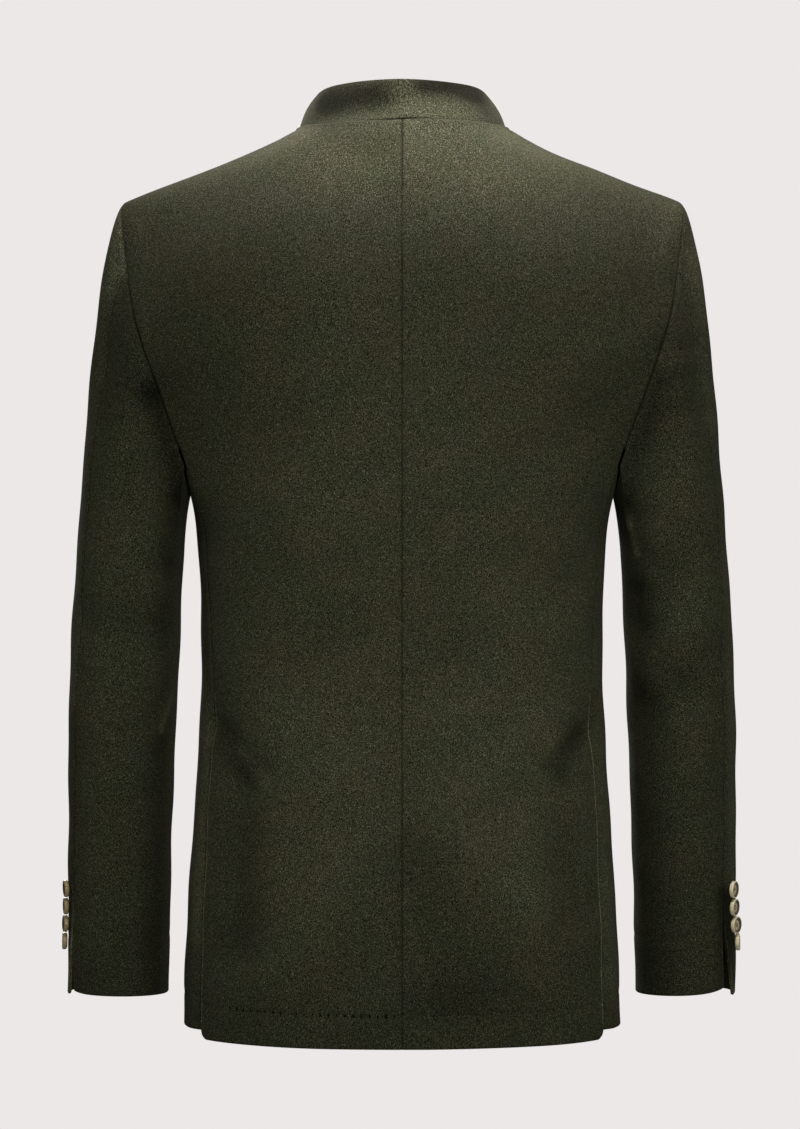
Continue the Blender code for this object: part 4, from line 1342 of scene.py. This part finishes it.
class Graph(Wiring):
    """Material whose nodes are written as expressions."""

    def __init__(self, name: str) -> None:
        """Start a material with only its Principled shader."""
        self.material = bpy.data.materials.new(name)
        self.material.use_nodes = True
        super().__init__(self.material.node_tree)
        self.shader = self.tree.nodes["Principled BSDF"]

    def math(self, operation: str, *values: Any) -> Value:
        """Result of a Math node."""
        node = self.node("ShaderNodeMath", {"operation": operation}, dict(enumerate(values)))
        return Value(self, node.outputs[0])

    def noise(self, place: Any, scale: float, detail: float = 2.0, roughness: float = 0.5) -> Value:
        """Noise over a place, from 0 to 1."""
        sockets = {"Vector": place, "Scale": scale, "Detail": detail, "Roughness": roughness}
        return Value(self, self.node("ShaderNodeTexNoise", {}, sockets).outputs[0])

    def place(self, scale: Triple = (1.0, 1.0, 1.0), shift: Triple = (0.0, 0.0, 0.0)) -> Socket:
        """Place in the object, stretched and shifted."""
        sockets = {"Vector": self.node("ShaderNodeTexCoord").outputs["Object"], "Scale": scale, "Location": shift}
        return self.node("ShaderNodeMapping", {}, sockets).outputs["Vector"]

    def mark(self, name: str) -> Value:
        """Value kept on the piece's points."""
        return Value(self, self.node("ShaderNodeAttribute", {"attribute_name": name}).outputs["Fac"])

    def mix(self, share: Any, first: Any, second: Any) -> Socket:
        """Colour between two colours."""
        node = self.node("ShaderNodeMix", {"data_type": "RGBA"}, {0: share, 6: first, 7: second})
        return node.outputs[2]

    def scaled(self, colour: Any, factor: Value) -> Socket:
        """Colour made lighter or darker."""
        node = self.node("ShaderNodeVectorMath", {"operation": "SCALE"}, {0: colour, "Scale": factor})
        return node.outputs[0]

    def bump(self, height: Value, strength: float, distance: float) -> None:
        """Let a height shape the shader's normal."""
        node = self.node("ShaderNodeBump", {}, {"Strength": strength, "Distance": distance, "Height": height})
        self.feed(self.shader.inputs["Normal"], node.outputs["Normal"])

    def set(self, **numbers: Any) -> None:
        """Set or link the shader's own sockets, named with underscores for spaces."""
        for name, value in numbers.items():
            self.feed(self.shader.inputs[name.replace("_", " ").title().replace("Ior", "IOR")], value)


class Fleck(NamedTuple):
    """Flecks or patches of one colour, with the band of a noise in which they show and their share there."""

    colour: Colour
    scale: float
    detail: float
    roughness: float
    stretch: Triple
    shift: Triple
    low: float
    high: float
    share: float

    def over(self, graph: Graph, ground: Any) -> Socket:
        """Colour of the flecks over a ground colour."""
        noise = graph.noise(graph.place(self.stretch, self.shift), self.scale, self.detail, self.roughness)
        return graph.mix(noise.band(self.low, self.high) * self.share, ground, self.colour)


@dataclass(frozen=True)
class LodenFinish:
    """Dark olive melange wool, fulled and napped."""

    dark: Colour = (0.0077, 0.0086, 0.0040, 1.0)
    olive: Colour = (0.0473, 0.0484, 0.0270, 1.0)
    brown: Colour = (0.0550, 0.0457, 0.0275, 1.0)
    green: Colour = (0.0374, 0.0440, 0.0226, 1.0)
    blue: Colour = (0.0385, 0.0429, 0.0407, 1.0)
    pale: Colour = (0.1650, 0.1628, 0.1122, 1.0)
    sheen_tint: Colour = (0.62, 0.62, 0.48, 1.0)
    olive_share: float = 0.52
    seam_shade: float = 0.72
    # How much the painted highlight along turned edges lightens the colour.
    edge_highlight_gain: float = 4.8
    hang: Triple = (1.25, 1.25, 0.68)
    fibre_scale: float = 1450.0
    nap_scale: float = 797.5
    twill_pitch: float = 0.0017
    fibre_height: float = 0.5
    twill_height: float = 0.06
    patches: tuple[Fleck, ...] = (
        Fleck(brown, 26.0, 2.0, 0.55, (1.0, 1.0, 1.0), (0.0, 0.0, 0.0), 0.38, 0.66, 1.0),
        Fleck(blue, 41.6, 2.0, 0.55, (1.0, 1.0, 1.0), (3.1, 0.4, 1.7), 0.52, 0.74, 0.55))
    flecks: tuple[Fleck, ...] = (
        Fleck(pale, 1350.0, 1.0, 0.5, (1.1, 1.1, 0.8), (0.9, 2.3, 0.2), 0.58, 0.72, 0.70),
        Fleck(brown, 1080.0, 1.0, 0.5, (1.0, 1.0, 0.7), (2.2, 0.1, 4.4), 0.64, 0.80, 0.45))

    def material(self) -> Material:
        """Build the cloth's finish.

        Returns:
            The material.
        """
        graph = Graph("loden_cloth_finish")
        hanging = graph.place(self.hang)
        fibre = graph.noise(hanging, self.fibre_scale, detail=1.5, roughness=0.60)
        body = self.green
        for patch in self.patches:
            body = patch.over(graph, body)
        body = graph.mix(self.olive_share, body, self.olive)
        colour = graph.mix(fibre.band(low=0.45, high=0.55), self.dark, body)
        for fleck in self.flecks:
            colour = fleck.over(graph, colour)
        # Dark seam lines, a painted highlight along turned edges, and the painted shade and highlight of folds and
        # strokes scale the colour.
        shade = 1.0 - graph.mark("sewn") * self.seam_shade + graph.mark("turned") * self.edge_highlight_gain
        graph.set(base_color=graph.scaled(colour, shade * (1.0 - graph.mark("nap"))), roughness=0.95,
                  specular_ior_level=0.06, sheen_weight=0.04, sheen_roughness=0.45, sheen_tint=self.sheen_tint)
        woven = graph.node("ShaderNodeUVMap", {"uv_map": "weave"}).outputs[0]
        weave = graph.node("ShaderNodeSeparateXYZ", {}, {0: woven})
        across, along = (Value(graph, weave.outputs[axis]) for axis in (0, 1))
        twill = ((across + along) * (2.0 * math.pi / self.twill_pitch)).math("SINE")
        # The wool's own nap texture, used for the bump only.
        nap = graph.noise(hanging, self.nap_scale, detail=3.0, roughness=0.7)
        graph.bump(nap + fibre * self.fibre_height + twill * self.twill_height, strength=0.55, distance=0.0009)
        return graph.material


@dataclass(frozen=True)
class HornFinish:
    """Cream horn with a brown ring and streaks, polished; brown in the holes and honey brown on the left cuff's
    buttons are painted shade.
    """

    cream: Colour = (0.800, 0.700, 0.500, 1.0)
    honey: Colour = (0.300, 0.205, 0.080, 1.0)
    brown: Colour = (0.060, 0.034, 0.014, 1.0)
    streak_scale: float = 240.0
    streak_stretch: Triple = (1.0, 1.0, 2.6)
    streak_share: float = 0.4
    warm_share: float = 0.6
    ring_share: float = 0.92
    gloss: float = 0.28
    streak_gloss: float = 0.15

    def material(self) -> Material:
        """Build the buttons' finish.

        Returns:
            The material.
        """
        graph = Graph("horn_finish")
        radius = graph.mark("radius_share")
        streak = graph.noise(graph.place(self.streak_stretch), self.streak_scale, detail=3.0, roughness=0.6)
        # A high warmth turns the horn honey brown, which on the left cuff's buttons is painted shade.
        warm = streak.band(low=0.45, high=0.75) * self.streak_share + graph.mark("warmth") * self.warm_share
        ring = radius.band(low=0.54, high=0.62) * (1.0 - radius.band(low=0.86, high=0.93))
        colour = graph.mix(ring * self.ring_share, graph.mix(warm, self.cream, self.honey), self.brown)
        # Painted shade: the holes' dents are coloured brown.
        colour = graph.mix(graph.mark("hole"), colour, self.brown)
        graph.set(base_color=colour, roughness=self.gloss + streak * self.streak_gloss, coat_weight=0.15)
        graph.bump(streak, strength=0.10, distance=0.0004)
        return graph.material


@dataclass(frozen=True)
class ThreadFinish:
    """Dark sewing thread with a twist."""

    name: str = "sewing_thread_finish"
    colour: Colour = (0.0045, 0.0046, 0.0028, 1.0)
    light: Colour = (0.0110, 0.0110, 0.0070, 1.0)
    twist_scale: float = 1500.0
    twist_stretch: Triple = (1.0, 1.0, 0.5)

    def material(self) -> Material:
        """Build the thread's finish.

        Returns:
            The material.
        """
        graph = Graph(self.name)
        twist = graph.noise(graph.place(self.twist_stretch), self.twist_scale, detail=1.0)
        colour = graph.mix(twist.band(low=0.4, high=0.7), self.colour, self.light)
        graph.set(base_color=colour, roughness=0.9, specular_ior_level=0.05)
        graph.bump(twist, strength=0.3, distance=0.0002)
        return graph.material


@dataclass
class StitchLine:
    """Row of thread stitches that lie across lines on the cloth, made with Geometry Nodes."""

    finish: Material
    spacing: float
    length: float
    thickness: float
    uneven: float
    seed: int
    segments: int = 6
    rings: int = 4

    def tree(self) -> tuple[bpy.types.GeometryNodeTree, dict[str, str]]:
        """Node tree that lays stitches along the input's edges.

        Returns:
            The tree and the identifier of each named input.
        """
        tree = bpy.data.node_groups.new("stitches_along_line", "GeometryNodeTree")
        face = tree.interface
        face.new_socket("Line", in_out="INPUT", socket_type="NodeSocketGeometry")
        names = ("Spacing", "Size Along", "Size Across", "Thickness", "Least Size", "Most Size")
        inputs = {name: face.new_socket(name, in_out="INPUT", socket_type="NodeSocketFloat").identifier
                  for name in names}
        inputs["Seed"] = face.new_socket("Seed", in_out="INPUT", socket_type="NodeSocketInt").identifier
        face.new_socket("Stitches", in_out="OUTPUT", socket_type="NodeSocketGeometry")

        add = Wiring(tree).node
        given = tree.nodes.new("NodeGroupInput").outputs
        curve = add("GeometryNodeMeshToCurve", {}, {"Mesh": given["Line"]})
        spots = add("GeometryNodeCurveToPoints", {"mode": "LENGTH"},
                    {"Curve": curve.outputs[0], "Length": given["Spacing"]})
        outward = add("GeometryNodeInputNamedAttribute", {"data_type": "FLOAT_VECTOR"}, {"Name": "outward"})
        turn = add("FunctionNodeAlignRotationToVector", {"axis": "X"}, {"Vector": spots.outputs["Tangent"]})
        turn = add("FunctionNodeAlignRotationToVector", {"axis": "Z", "pivot_axis": "X"},
                   {"Rotation": turn.outputs[0], "Vector": outward.outputs[0]})
        size = add("ShaderNodeCombineXYZ", {},
                   {0: given["Size Along"], 1: given["Size Across"], 2: given["Thickness"]})
        chance = add("FunctionNodeRandomValue", {"data_type": "FLOAT"},
                     {2: given["Least Size"], 3: given["Most Size"], "Seed": given["Seed"]})
        size = add("ShaderNodeVectorMath", {"operation": "SCALE"},
                   {0: size.outputs[0], "Scale": chance.outputs[1]})
        bead = add("GeometryNodeMeshUVSphere", {},
                   {"Segments": self.segments, "Rings": self.rings, "Radius": 0.5})
        laid = add("GeometryNodeInstanceOnPoints", {},
                   {"Points": spots.outputs["Points"], "Instance": bead.outputs["Mesh"],
                    "Rotation": turn.outputs[0], "Scale": size.outputs[0]})
        real = add("GeometryNodeRealizeInstances", {}, {"Geometry": laid.outputs[0]})
        dressed = add("GeometryNodeSetMaterial", {}, {"Geometry": real.outputs[0], "Material": self.finish})
        tree.links.new(dressed.outputs[0], tree.nodes.new("NodeGroupOutput").inputs[0])
        return tree, inputs

    def sew(self, name: str, lines: list[tuple[Points, Points, bool]]) -> Piece:
        """Make the stitches of some lines as one plain mesh.

        Args:
            name: Name of the piece.
            lines: For each line its points, the cloth's normals there, and whether it is a closed loop.

        Returns:
            The piece.
        """
        edges, count = [], 0
        for points, _, closed in lines:
            edges += [(count + i, count + i + 1) for i in range(len(points) - 1)]
            edges += [(count + len(points) - 1, count)] if closed else []
            count += len(points)
        points, normals = (np.vstack([line[part] for line in lines]) for part in (0, 1))
        draft = add_mesh(name + "_line", points.tolist(), [], edges)
        outward = draft.data.attributes.new("outward", "FLOAT_VECTOR", "POINT")
        outward.data.foreach_set("vector", normals.astype(np.float32).reshape(-1))
        tree, inputs = self.tree()
        modifier = draft.modifiers.new("stitches", "NODES")
        modifier.node_group = tree
        for key, value in {"Spacing": self.spacing, "Size Along": self.thickness, "Size Across": self.length,
                           "Thickness": self.thickness, "Least Size": 1.0 - self.uneven,
                           "Most Size": 1.0 + self.uneven, "Seed": self.seed}.items():
            modifier[inputs[key]] = value
        shown = draft.evaluated_get(bpy.context.evaluated_depsgraph_get())
        plain = bpy.data.meshes.new_from_object(shown)
        plain.name = name
        plain.materials.clear()
        plain.materials.append(self.finish)
        plain.polygons.foreach_set("material_index", [0] * len(plain.polygons))
        bpy.data.objects.remove(draft, do_unlink=True)
        plain.shade_smooth()
        piece = add_object(name, plain)
        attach(piece, "root")
        return piece


@dataclass
class ButtonRow:
    """Turned horn buttons with a raised rim, four holes and the thread that holds them."""

    nodes: tuple[str, ...]
    radius: float
    thickness: float
    lift: float = 0.0005
    segments: int = 48
    hole_ring: float = 0.23
    hole_radius: float = 0.080
    hole_edge: float = 1.35
    hole_slope: float = 0.5
    hole_depth: float = 0.45
    thread_radius: float = 0.00042
    thread_rise: float = 0.0006
    thread_sink: float = 0.6
    thread_apart: float = 0.8
    thread_steps: int = 8
    thread_sides: int = 6
    warmth: float = 0.2
    profile: tuple[tuple[float, float], ...] = (
        (0.00, 0.66), (0.05, 0.66), (0.10, 0.66), (0.14, 0.66), (0.18, 0.66), (0.22, 0.66), (0.26, 0.66),
        (0.30, 0.66), (0.34, 0.66), (0.40, 0.65), (0.48, 0.63), (0.56, 0.64), (0.63, 0.76), (0.70, 0.91),
        (0.77, 0.99), (0.84, 1.00), (0.91, 0.98), (0.96, 0.93), (1.00, 0.82), (1.00, 0.58), (1.00, 0.34),
        (0.94, 0.20), (0.84, 0.09), (0.72, 0.00), (0.30, 0.00), (0.00, 0.00))

    def hole_places(self) -> Points:
        """Centres of the four holes, in shares of the radius."""
        angle = math.pi / 4.0 + np.arange(4) * math.pi / 2.0
        return self.hole_ring * np.stack([np.cos(angle), np.sin(angle)], axis=1)

    def shape(self) -> tuple[Points, list, Points, Points]:
        """Turn one button, lying flat.

        Returns:
            Its points and faces, each point's share of the radius, and how far it lies in one of the holes, which
            sets the painted shade there.
        """
        turns = np.arange(self.segments) * 2.0 * math.pi / self.segments
        points, radius_share, hole = [], [], []
        top = int(np.argmax([height for _, height in self.profile]))
        for step, (share, height) in enumerate(self.profile):
            for turn in turns if share > 0.0 else turns[:1]:
                spot = share * np.array([math.cos(turn), math.sin(turn)])
                inside = 0.0
                if step < top:
                    near = np.min(np.linalg.norm(self.hole_places() - spot, axis=1)) / self.hole_radius
                    inside = float(ease((self.hole_edge - near) / self.hole_slope))
                points.append((*(spot * self.radius), (height - self.hole_depth * inside) * self.thickness))
                radius_share.append(share if step <= top else 1.0)
                hole.append(inside)
        rings, last = len(self.profile) - 2, len(points) - 1
        faces = ring_faces(rings, self.segments, 1)
        for number in range(self.segments):
            after = (number + 1) % self.segments
            low = last - self.segments
            faces += [(0, 1 + number, 1 + after), (low + number, last, low + after)]
        return np.array(points), faces, np.array(radius_share), np.array(hole)

    def thread(self, start: Points, end: Points, height: float) -> tuple[Points, list]:
        """Arched thread between two holes, as a tube lying over the face.

        Args:
            start: Place of the first hole.
            end: Place of the second hole.
            height: Height of the face.

        Returns:
            The tube's points and faces.
        """
        along = unit(end - start)
        side = np.array([-along[1], along[0]])
        points = []
        for share in np.linspace(0.0, 1.0, self.thread_steps + 1):
            centre = start + share * (end - start)
            rise = height + self.thread_rise * (math.sin(math.pi * share) - self.thread_sink)
            for turn in np.arange(self.thread_sides) * 2.0 * math.pi / self.thread_sides:
                flat = centre + side * self.thread_radius * math.cos(turn)
                points.append((flat[0], flat[1], rise + self.thread_radius * math.sin(turn)))
        sides = self.thread_sides
        faces = [face[::-1] for face in ring_faces(self.thread_steps + 1, sides)]
        last = self.thread_steps * sides
        faces += [tuple(range(sides))[::-1], tuple(range(last, last + sides))]
        return np.array(points), faces

    def make(self, name: str, frames: list[Matrix], horn: Material, thread: Material) -> list[Piece]:
        """Make the buttons and their thread, and let them stand for the row's nodes.

        Args:
            name: Name of the row.
            frames: Place and turn of each button.
            horn: Finish of the buttons.
            thread: Finish of the thread.

        Returns:
            The buttons and the thread.
        """
        points, faces, radius_share, hole = self.shape()
        holes = self.hole_places() * self.radius
        height = self.profile[0][1] * self.thickness
        strands = []
        for first, second in ((0, 3), (1, 2)):
            for sign in (-1.0, 1.0):
                step = np.array([sign * self.thread_apart * self.thread_radius, 0.0])
                strands.append(self.thread(holes[first] + step, holes[second] + step, height))
        buttons = self.placed(name, [(points, faces)], frames, horn)
        # Honey-brown share of the horn, painted shade where it is high.
        warmth = np.full(len(points), self.warmth)
        for label, value in (("radius_share", radius_share), ("hole", hole), ("warmth", warmth)):
            keep_on_points(buttons.data, label, np.tile(value, len(frames)))
        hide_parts(*self.nodes)
        threads = self.placed(name + "_thread", strands, frames, thread)
        return [buttons, threads]

    @staticmethod
    def placed(name: str, shapes: list[tuple[Points, list]], frames: list[Matrix], finish: Material) -> Piece:
        """Copy some shapes to every place of the row, as one mesh.

        Args:
            name: Name of the piece.
            shapes: Points and faces of each shape.
            frames: Places and turns of the copies.
            finish: Finish of the piece.

        Returns:
            The piece.
        """
        points, faces = [], []
        for place in frames:
            for shape_points, shape_faces in shapes:
                base = len(points)
                points += [tuple(place @ Vector(point)) for point in shape_points]
                faces += [tuple(base + corner for corner in face) for face in shape_faces]
        piece = add_mesh(name, points, faces)
        piece.data.shade_smooth()
        piece.data.materials.append(finish)
        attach(piece, "root")
        return piece


@dataclass
class Fastenings:
    """Cuff buttons beside the vents, front buttons and their buttonholes, and dark thread beads above the hem that
    paint the shade in its blind stitches' dents.
    """

    body: Body
    sleeves: Sleeves
    tailor: Tailor
    horn: Material
    button_thread: Material
    sewing_thread: Material
    search_reach: float = 0.05
    cuff_first: float = -0.6065
    cuff_pitch: float = 0.0143
    cuff_inset: float = 0.041
    cuff_radius: float = 0.0069
    cuff_thickness: float = 0.0040
    cuff_turn: float = 0.4
    cuff_turn_step: float = 1.1
    front_count: int = 5
    front_first: float = -0.118
    front_pitch: float = 0.100
    front_radius: float = 0.0102
    front_thickness: float = 0.0040
    front_turn_step: float = 0.3
    hole_start: float = -0.004
    hole_end: float = 0.0185
    hole_half: float = 0.0011
    hole_points: int = 40
    hem_rise: float = 0.0275
    hem_pitch: float = 0.0062
    hem_start: float = 0.006
    hem_end: float = 0.134
    hem_points: int = 60
    hem_bow: float = 0.004
    hem_bow_half: float = 0.142
    # Length and thickness of the dark beads on each half, painted shade for the hem's dents.
    hem_shade_beads: tuple[tuple[Side, float, float], ...] = (
        (Side.LEFT, 0.0027, 0.0017), (Side.RIGHT, 0.0015, 0.0007))

    def cloth(self, node: str) -> BVHTree:
        """Search tree over the faces of a piece of cloth."""
        mesh = self.tailor.meshes[node]
        return BVHTree.FromPolygons([vertex.co for vertex in mesh.vertices],
                                    [polygon.vertices for polygon in mesh.polygons])

    @staticmethod
    def frame_at(place: Vector, normal: Vector, lift: float, turn: float) -> Matrix:
        """Place and turn of a button that lies on the cloth."""
        rotation = normal.to_track_quat("Z", "Y").to_matrix().to_4x4() @ Matrix.Rotation(turn, 4, "Z")
        return Matrix.Translation(place + normal * lift) @ rotation

    def cuffs(self) -> list[Piece]:
        """Sew a row of buttons beside each cuff vent.

        Returns:
            The buttons and the thread of both cuffs.
        """
        made = []
        for side, cuff in self.sleeves.cuffs.items():
            cloth = self.cloth("upper_sleeve" + side.value)
            row = ButtonRow(tuple(f"cuff_button{side.value}_{n + 1}" for n in range(len(cuff.leans))),
                            self.cuff_radius, self.cuff_thickness, warmth=cuff.warmth)
            frames = []
            for number, lean in enumerate(cuff.leans):
                height = self.cuff_first - number * self.cuff_pitch
                share = self.sleeves.button_share(height, self.cuff_inset, cuff)
                spot = self.sleeves.ring(height, np.array([share]))[0]
                centre = self.sleeves.sizes(height)[:2]
                target = Vector((side.sign * spot[0], spot[1], spot[2]))
                outward = Vector((side.sign * (spot[0] - centre[0]), spot[1] - centre[1], 0.0)).normalized()
                place, normal = cloth.ray_cast(target + outward * self.search_reach, -outward)[:2]
                along = Vector((0.0, 0.0, 1.0)).cross(normal) * side.sign
                place = place + normal * (self.cuff_radius * abs(lean))
                normal = (normal + along * lean).normalized()
                turn = self.cuff_turn + self.cuff_turn_step * number
                frames.append(self.frame_at(place, normal, row.lift, turn))
            made += row.make("cuff_buttons" + side.value, frames, self.horn, self.button_thread)
        return made

    def fronts(self) -> list[Piece]:
        """Sew the buttons down the centre front, each in a worked buttonhole.

        Returns:
            The buttons, their thread and the buttonholes.
        """
        cloth = self.cloth("front_left")
        row = ButtonRow(tuple(f"front_button_{n + 1}" for n in range(self.front_count)),
                        self.front_radius, self.front_thickness)
        angle = np.linspace(0.0, 2.0 * math.pi, self.hole_points, endpoint=False)
        middle, half = (self.hole_start + self.hole_end) / 2.0, (self.hole_end - self.hole_start) / 2.0
        frames, lines = [], []
        for number in range(self.front_count):
            height = self.front_first - number * self.front_pitch
            place, normal = self.front_spot(cloth, 0.0, height)
            frames.append(self.frame_at(place, normal, row.lift, self.front_turn_step * number))
            spots = [self.front_spot(cloth, middle + half * math.cos(turn),
                                     height + self.hole_half * math.sin(turn)) for turn in angle]
            lines.append((*(np.array([spot[part] for spot in spots]) for part in (0, 1)), True))
        made = row.make("front_buttons", frames, self.horn, self.button_thread)
        worked = StitchLine(self.sewing_thread, spacing=0.0007, length=0.0019, thickness=0.0005, uneven=0.12,
                            seed=11)
        return made + [worked.sew("front_buttonholes", lines)]

    def front_spot(self, cloth: BVHTree, x: float, height: float) -> tuple[Vector, Vector]:
        """Point and normal of the left front's outer face."""
        start = Vector((x, self.body.front_yoke[0].centre_y - self.search_reach, height))
        return cloth.ray_cast(start, Vector((0.0, 1.0, 0.0)))[:2]

    def hem(self) -> list[Piece]:
        """Lay dark thread beads above the back's hem, painted shade for the small dents of its blind stitches.

        Returns:
            The stitches of both halves.
        """
        made = []
        low = self.body.levels[0]
        for side, length, thickness in self.hem_shade_beads:
            cloth = self.cloth("back" + side.value)
            spots = []
            for x in np.linspace(self.hem_start, self.hem_end, self.hem_points):
                height = low.height + self.hem_rise - self.hem_bow * (1.0 - (x / self.hem_bow_half) ** 2)
                start = Vector((side.sign * x, low.back_depth + self.search_reach, height))
                spots.append(cloth.ray_cast(start, Vector((0.0, -1.0, 0.0)))[:2])
            row = StitchLine(self.sewing_thread, self.hem_pitch, length, thickness, uneven=0.50, seed=5)
            points, normals = (np.array([spot[part] for spot in spots]) for part in (0, 1))
            made.append(row.sew("hem_blind_stitches" + side.value, [(points, normals, False)]))
        return made


class Lamp(NamedTuple):
    """Soft rectangular light that points from its place to its aim."""

    name: str
    place: Triple
    aim: Triple
    size: tuple[float, float]
    power: float
    spread: float
    colour: Triple


@dataclass
class Studio:
    """Camera at the photograph's angle, soft light from above and from the camera's side, pale stage."""

    distance: float = 3.6
    eye_x: float = 0.0016
    eye_z: float = -0.347
    frame_height: float = 0.9032
    backdrop_colour: Colour = (0.838, 0.806, 0.799, 1.0)
    backdrop_radius: float = 9.0
    backdrop_tilts: int = 33
    floor_colours: tuple[Colour, Colour] = ((0.78, 0.76, 0.75, 1.0), (0.80, 0.78, 0.77, 1.0))
    floor_grain: float = 3.0
    floor_z: float = -1.25
    floor_radius: float = 2.4
    turns: int = 64
    ambient: float = 0.19
    ambient_colour: Colour = (0.98, 1.0, 0.88, 1.0)
    cool: Triple = (1.0, 1.0, 0.95)
    warm: Triple = (1.0, 0.945, 1.0)
    lamps: tuple[Lamp, ...] = (
        Lamp("rake", (-0.05, 0.46, 0.30), (-0.03, 0.10, -0.47), (0.56, 0.08), 0.41, 36.0, cool),
        Lamp("key", (-0.015, 0.50, 0.62), (-0.015, 0.10, 0.058), (0.20, 0.15), 0.30, 15.0, warm),
        Lamp("shoulder_key", (-0.022, 0.50, 0.62), (-0.022, 0.10, 0.088), (0.47, 0.15), 0.47, 14.0, warm),
        Lamp("fill", (-0.35, 2.4, -0.20), (-0.02, 0.0, -0.42), (0.5, 0.5), 0.70, 30.0, cool),
        Lamp("front_fill", (0.6, -2.8, 0.9), (0.0, 0.0, -0.3), (1.8, 1.8), 40.0, 120.0, cool))

    def camera(self) -> None:
        """Level camera square to the back."""
        data = bpy.data.cameras.new("camera")
        data.sensor_fit = "VERTICAL"
        data.angle = 2.0 * math.atan(self.frame_height / 2.0 / self.distance)
        eye = add_object("camera", data)
        eye.location = (self.eye_x, self.distance, self.eye_z)
        eye.rotation_euler = Vector((0.0, -1.0, 0.0)).to_track_quat("-Z", "Y").to_euler()
        bpy.context.scene.camera = eye

    def lights(self) -> None:
        """Overhead keys, fills from the camera's side and the front, and faint light all round."""
        for lamp in self.lamps:
            data = bpy.data.lights.new(lamp.name, "AREA")
            data.shape = "RECTANGLE"
            data.size, data.size_y = lamp.size
            data.energy = lamp.power
            data.spread = math.radians(lamp.spread)
            data.color = lamp.colour
            light = add_object(lamp.name, data)
            light.location = lamp.place
            away = (Vector(lamp.place) - Vector(lamp.aim)).normalized()
            across = Vector((0.0, 0.0, 1.0)).cross(away).normalized()
            light.rotation_euler = Matrix((across, away.cross(across), away)).transposed().to_euler()
        world = bpy.data.worlds.new("studio")
        world.use_nodes = True
        sky = world.node_tree.nodes["Background"].inputs
        sky["Color"].default_value = self.ambient_colour
        sky["Strength"].default_value = self.ambient
        bpy.context.scene.world = world
        bpy.context.scene.view_settings.view_transform = "Standard"

    def stage(self) -> None:
        """Pale backdrop all round that only the camera sees, and a plain floor below the jacket."""
        pale = Graph("backdrop_finish")
        pale.set(base_color=(0.0, 0.0, 0.0, 1.0), specular_ior_level=0.0, emission_color=self.backdrop_colour,
                 emission_strength=1.0)
        plain = Graph("floor_finish")
        paint = plain.mix(plain.noise(plain.place(), self.floor_grain), *self.floor_colours)
        plain.set(base_color=paint, roughness=0.9, emission_color=paint, emission_strength=0.55)
        count = self.turns
        angles = np.arange(count) * 2.0 * math.pi / count
        tilts = np.linspace(-math.pi / 2.0, math.pi / 2.0, self.backdrop_tilts)
        dome = [(self.backdrop_radius * math.cos(tilt) * math.cos(angle),
                 self.backdrop_radius * math.cos(tilt) * math.sin(angle),
                 self.backdrop_radius * math.sin(tilt)) for tilt in tilts for angle in angles]
        dome_faces = ring_faces(len(tilts), count)
        disc = [(self.floor_radius * math.cos(angle), self.floor_radius * math.sin(angle), self.floor_z)
                for angle in angles]
        for name, points, faces, finish, shadow in (("backdrop", dome, dome_faces, pale, False),
                                                    ("floor", disc, [tuple(range(count))], plain, True)):
            piece = add_mesh(name, points, faces)
            piece.data.materials.append(finish.material)
            piece.visible_diffuse = piece.visible_glossy = False
            piece.visible_transmission = piece.visible_volume_scatter = False
            piece.visible_shadow = shadow


def main() -> None:
    """Build the jacket piece by piece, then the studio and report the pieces."""
    logging.basicConfig(level=logging.INFO, format="%(name)s %(message)s")
    studio = Studio()
    studio.camera()
    body = Body()
    collar = Collar(body).panel()
    sleeves = Sleeves(body)
    tailor = Tailor(LodenFinish().material())
    pieces = []
    for side in (Side.LEFT, Side.RIGHT):
        panels = body.panels() + sleeves.panels(side)
        tailor.join(panels + [collar])
        pieces += [tailor.sew(panel, side) for panel in panels]
    pieces.append(tailor.sew(collar, Side.BOTH))
    horn, thread = HornFinish().material(), ThreadFinish().material()
    pale_thread = ThreadFinish("button_thread_finish", colour=(0.260, 0.200, 0.120, 1.0),
                               light=(0.420, 0.340, 0.220, 1.0)).material()
    fastenings = Fastenings(body, sleeves, tailor, horn, pale_thread, thread)
    pieces += fastenings.cuffs() + fastenings.fronts() + fastenings.hem()
    for piece in pieces:
        log.info("%s: %d faces", piece.name, len(piece.data.polygons))
    studio.stage()
    studio.lights()


if __name__ == "__main__":
    main()
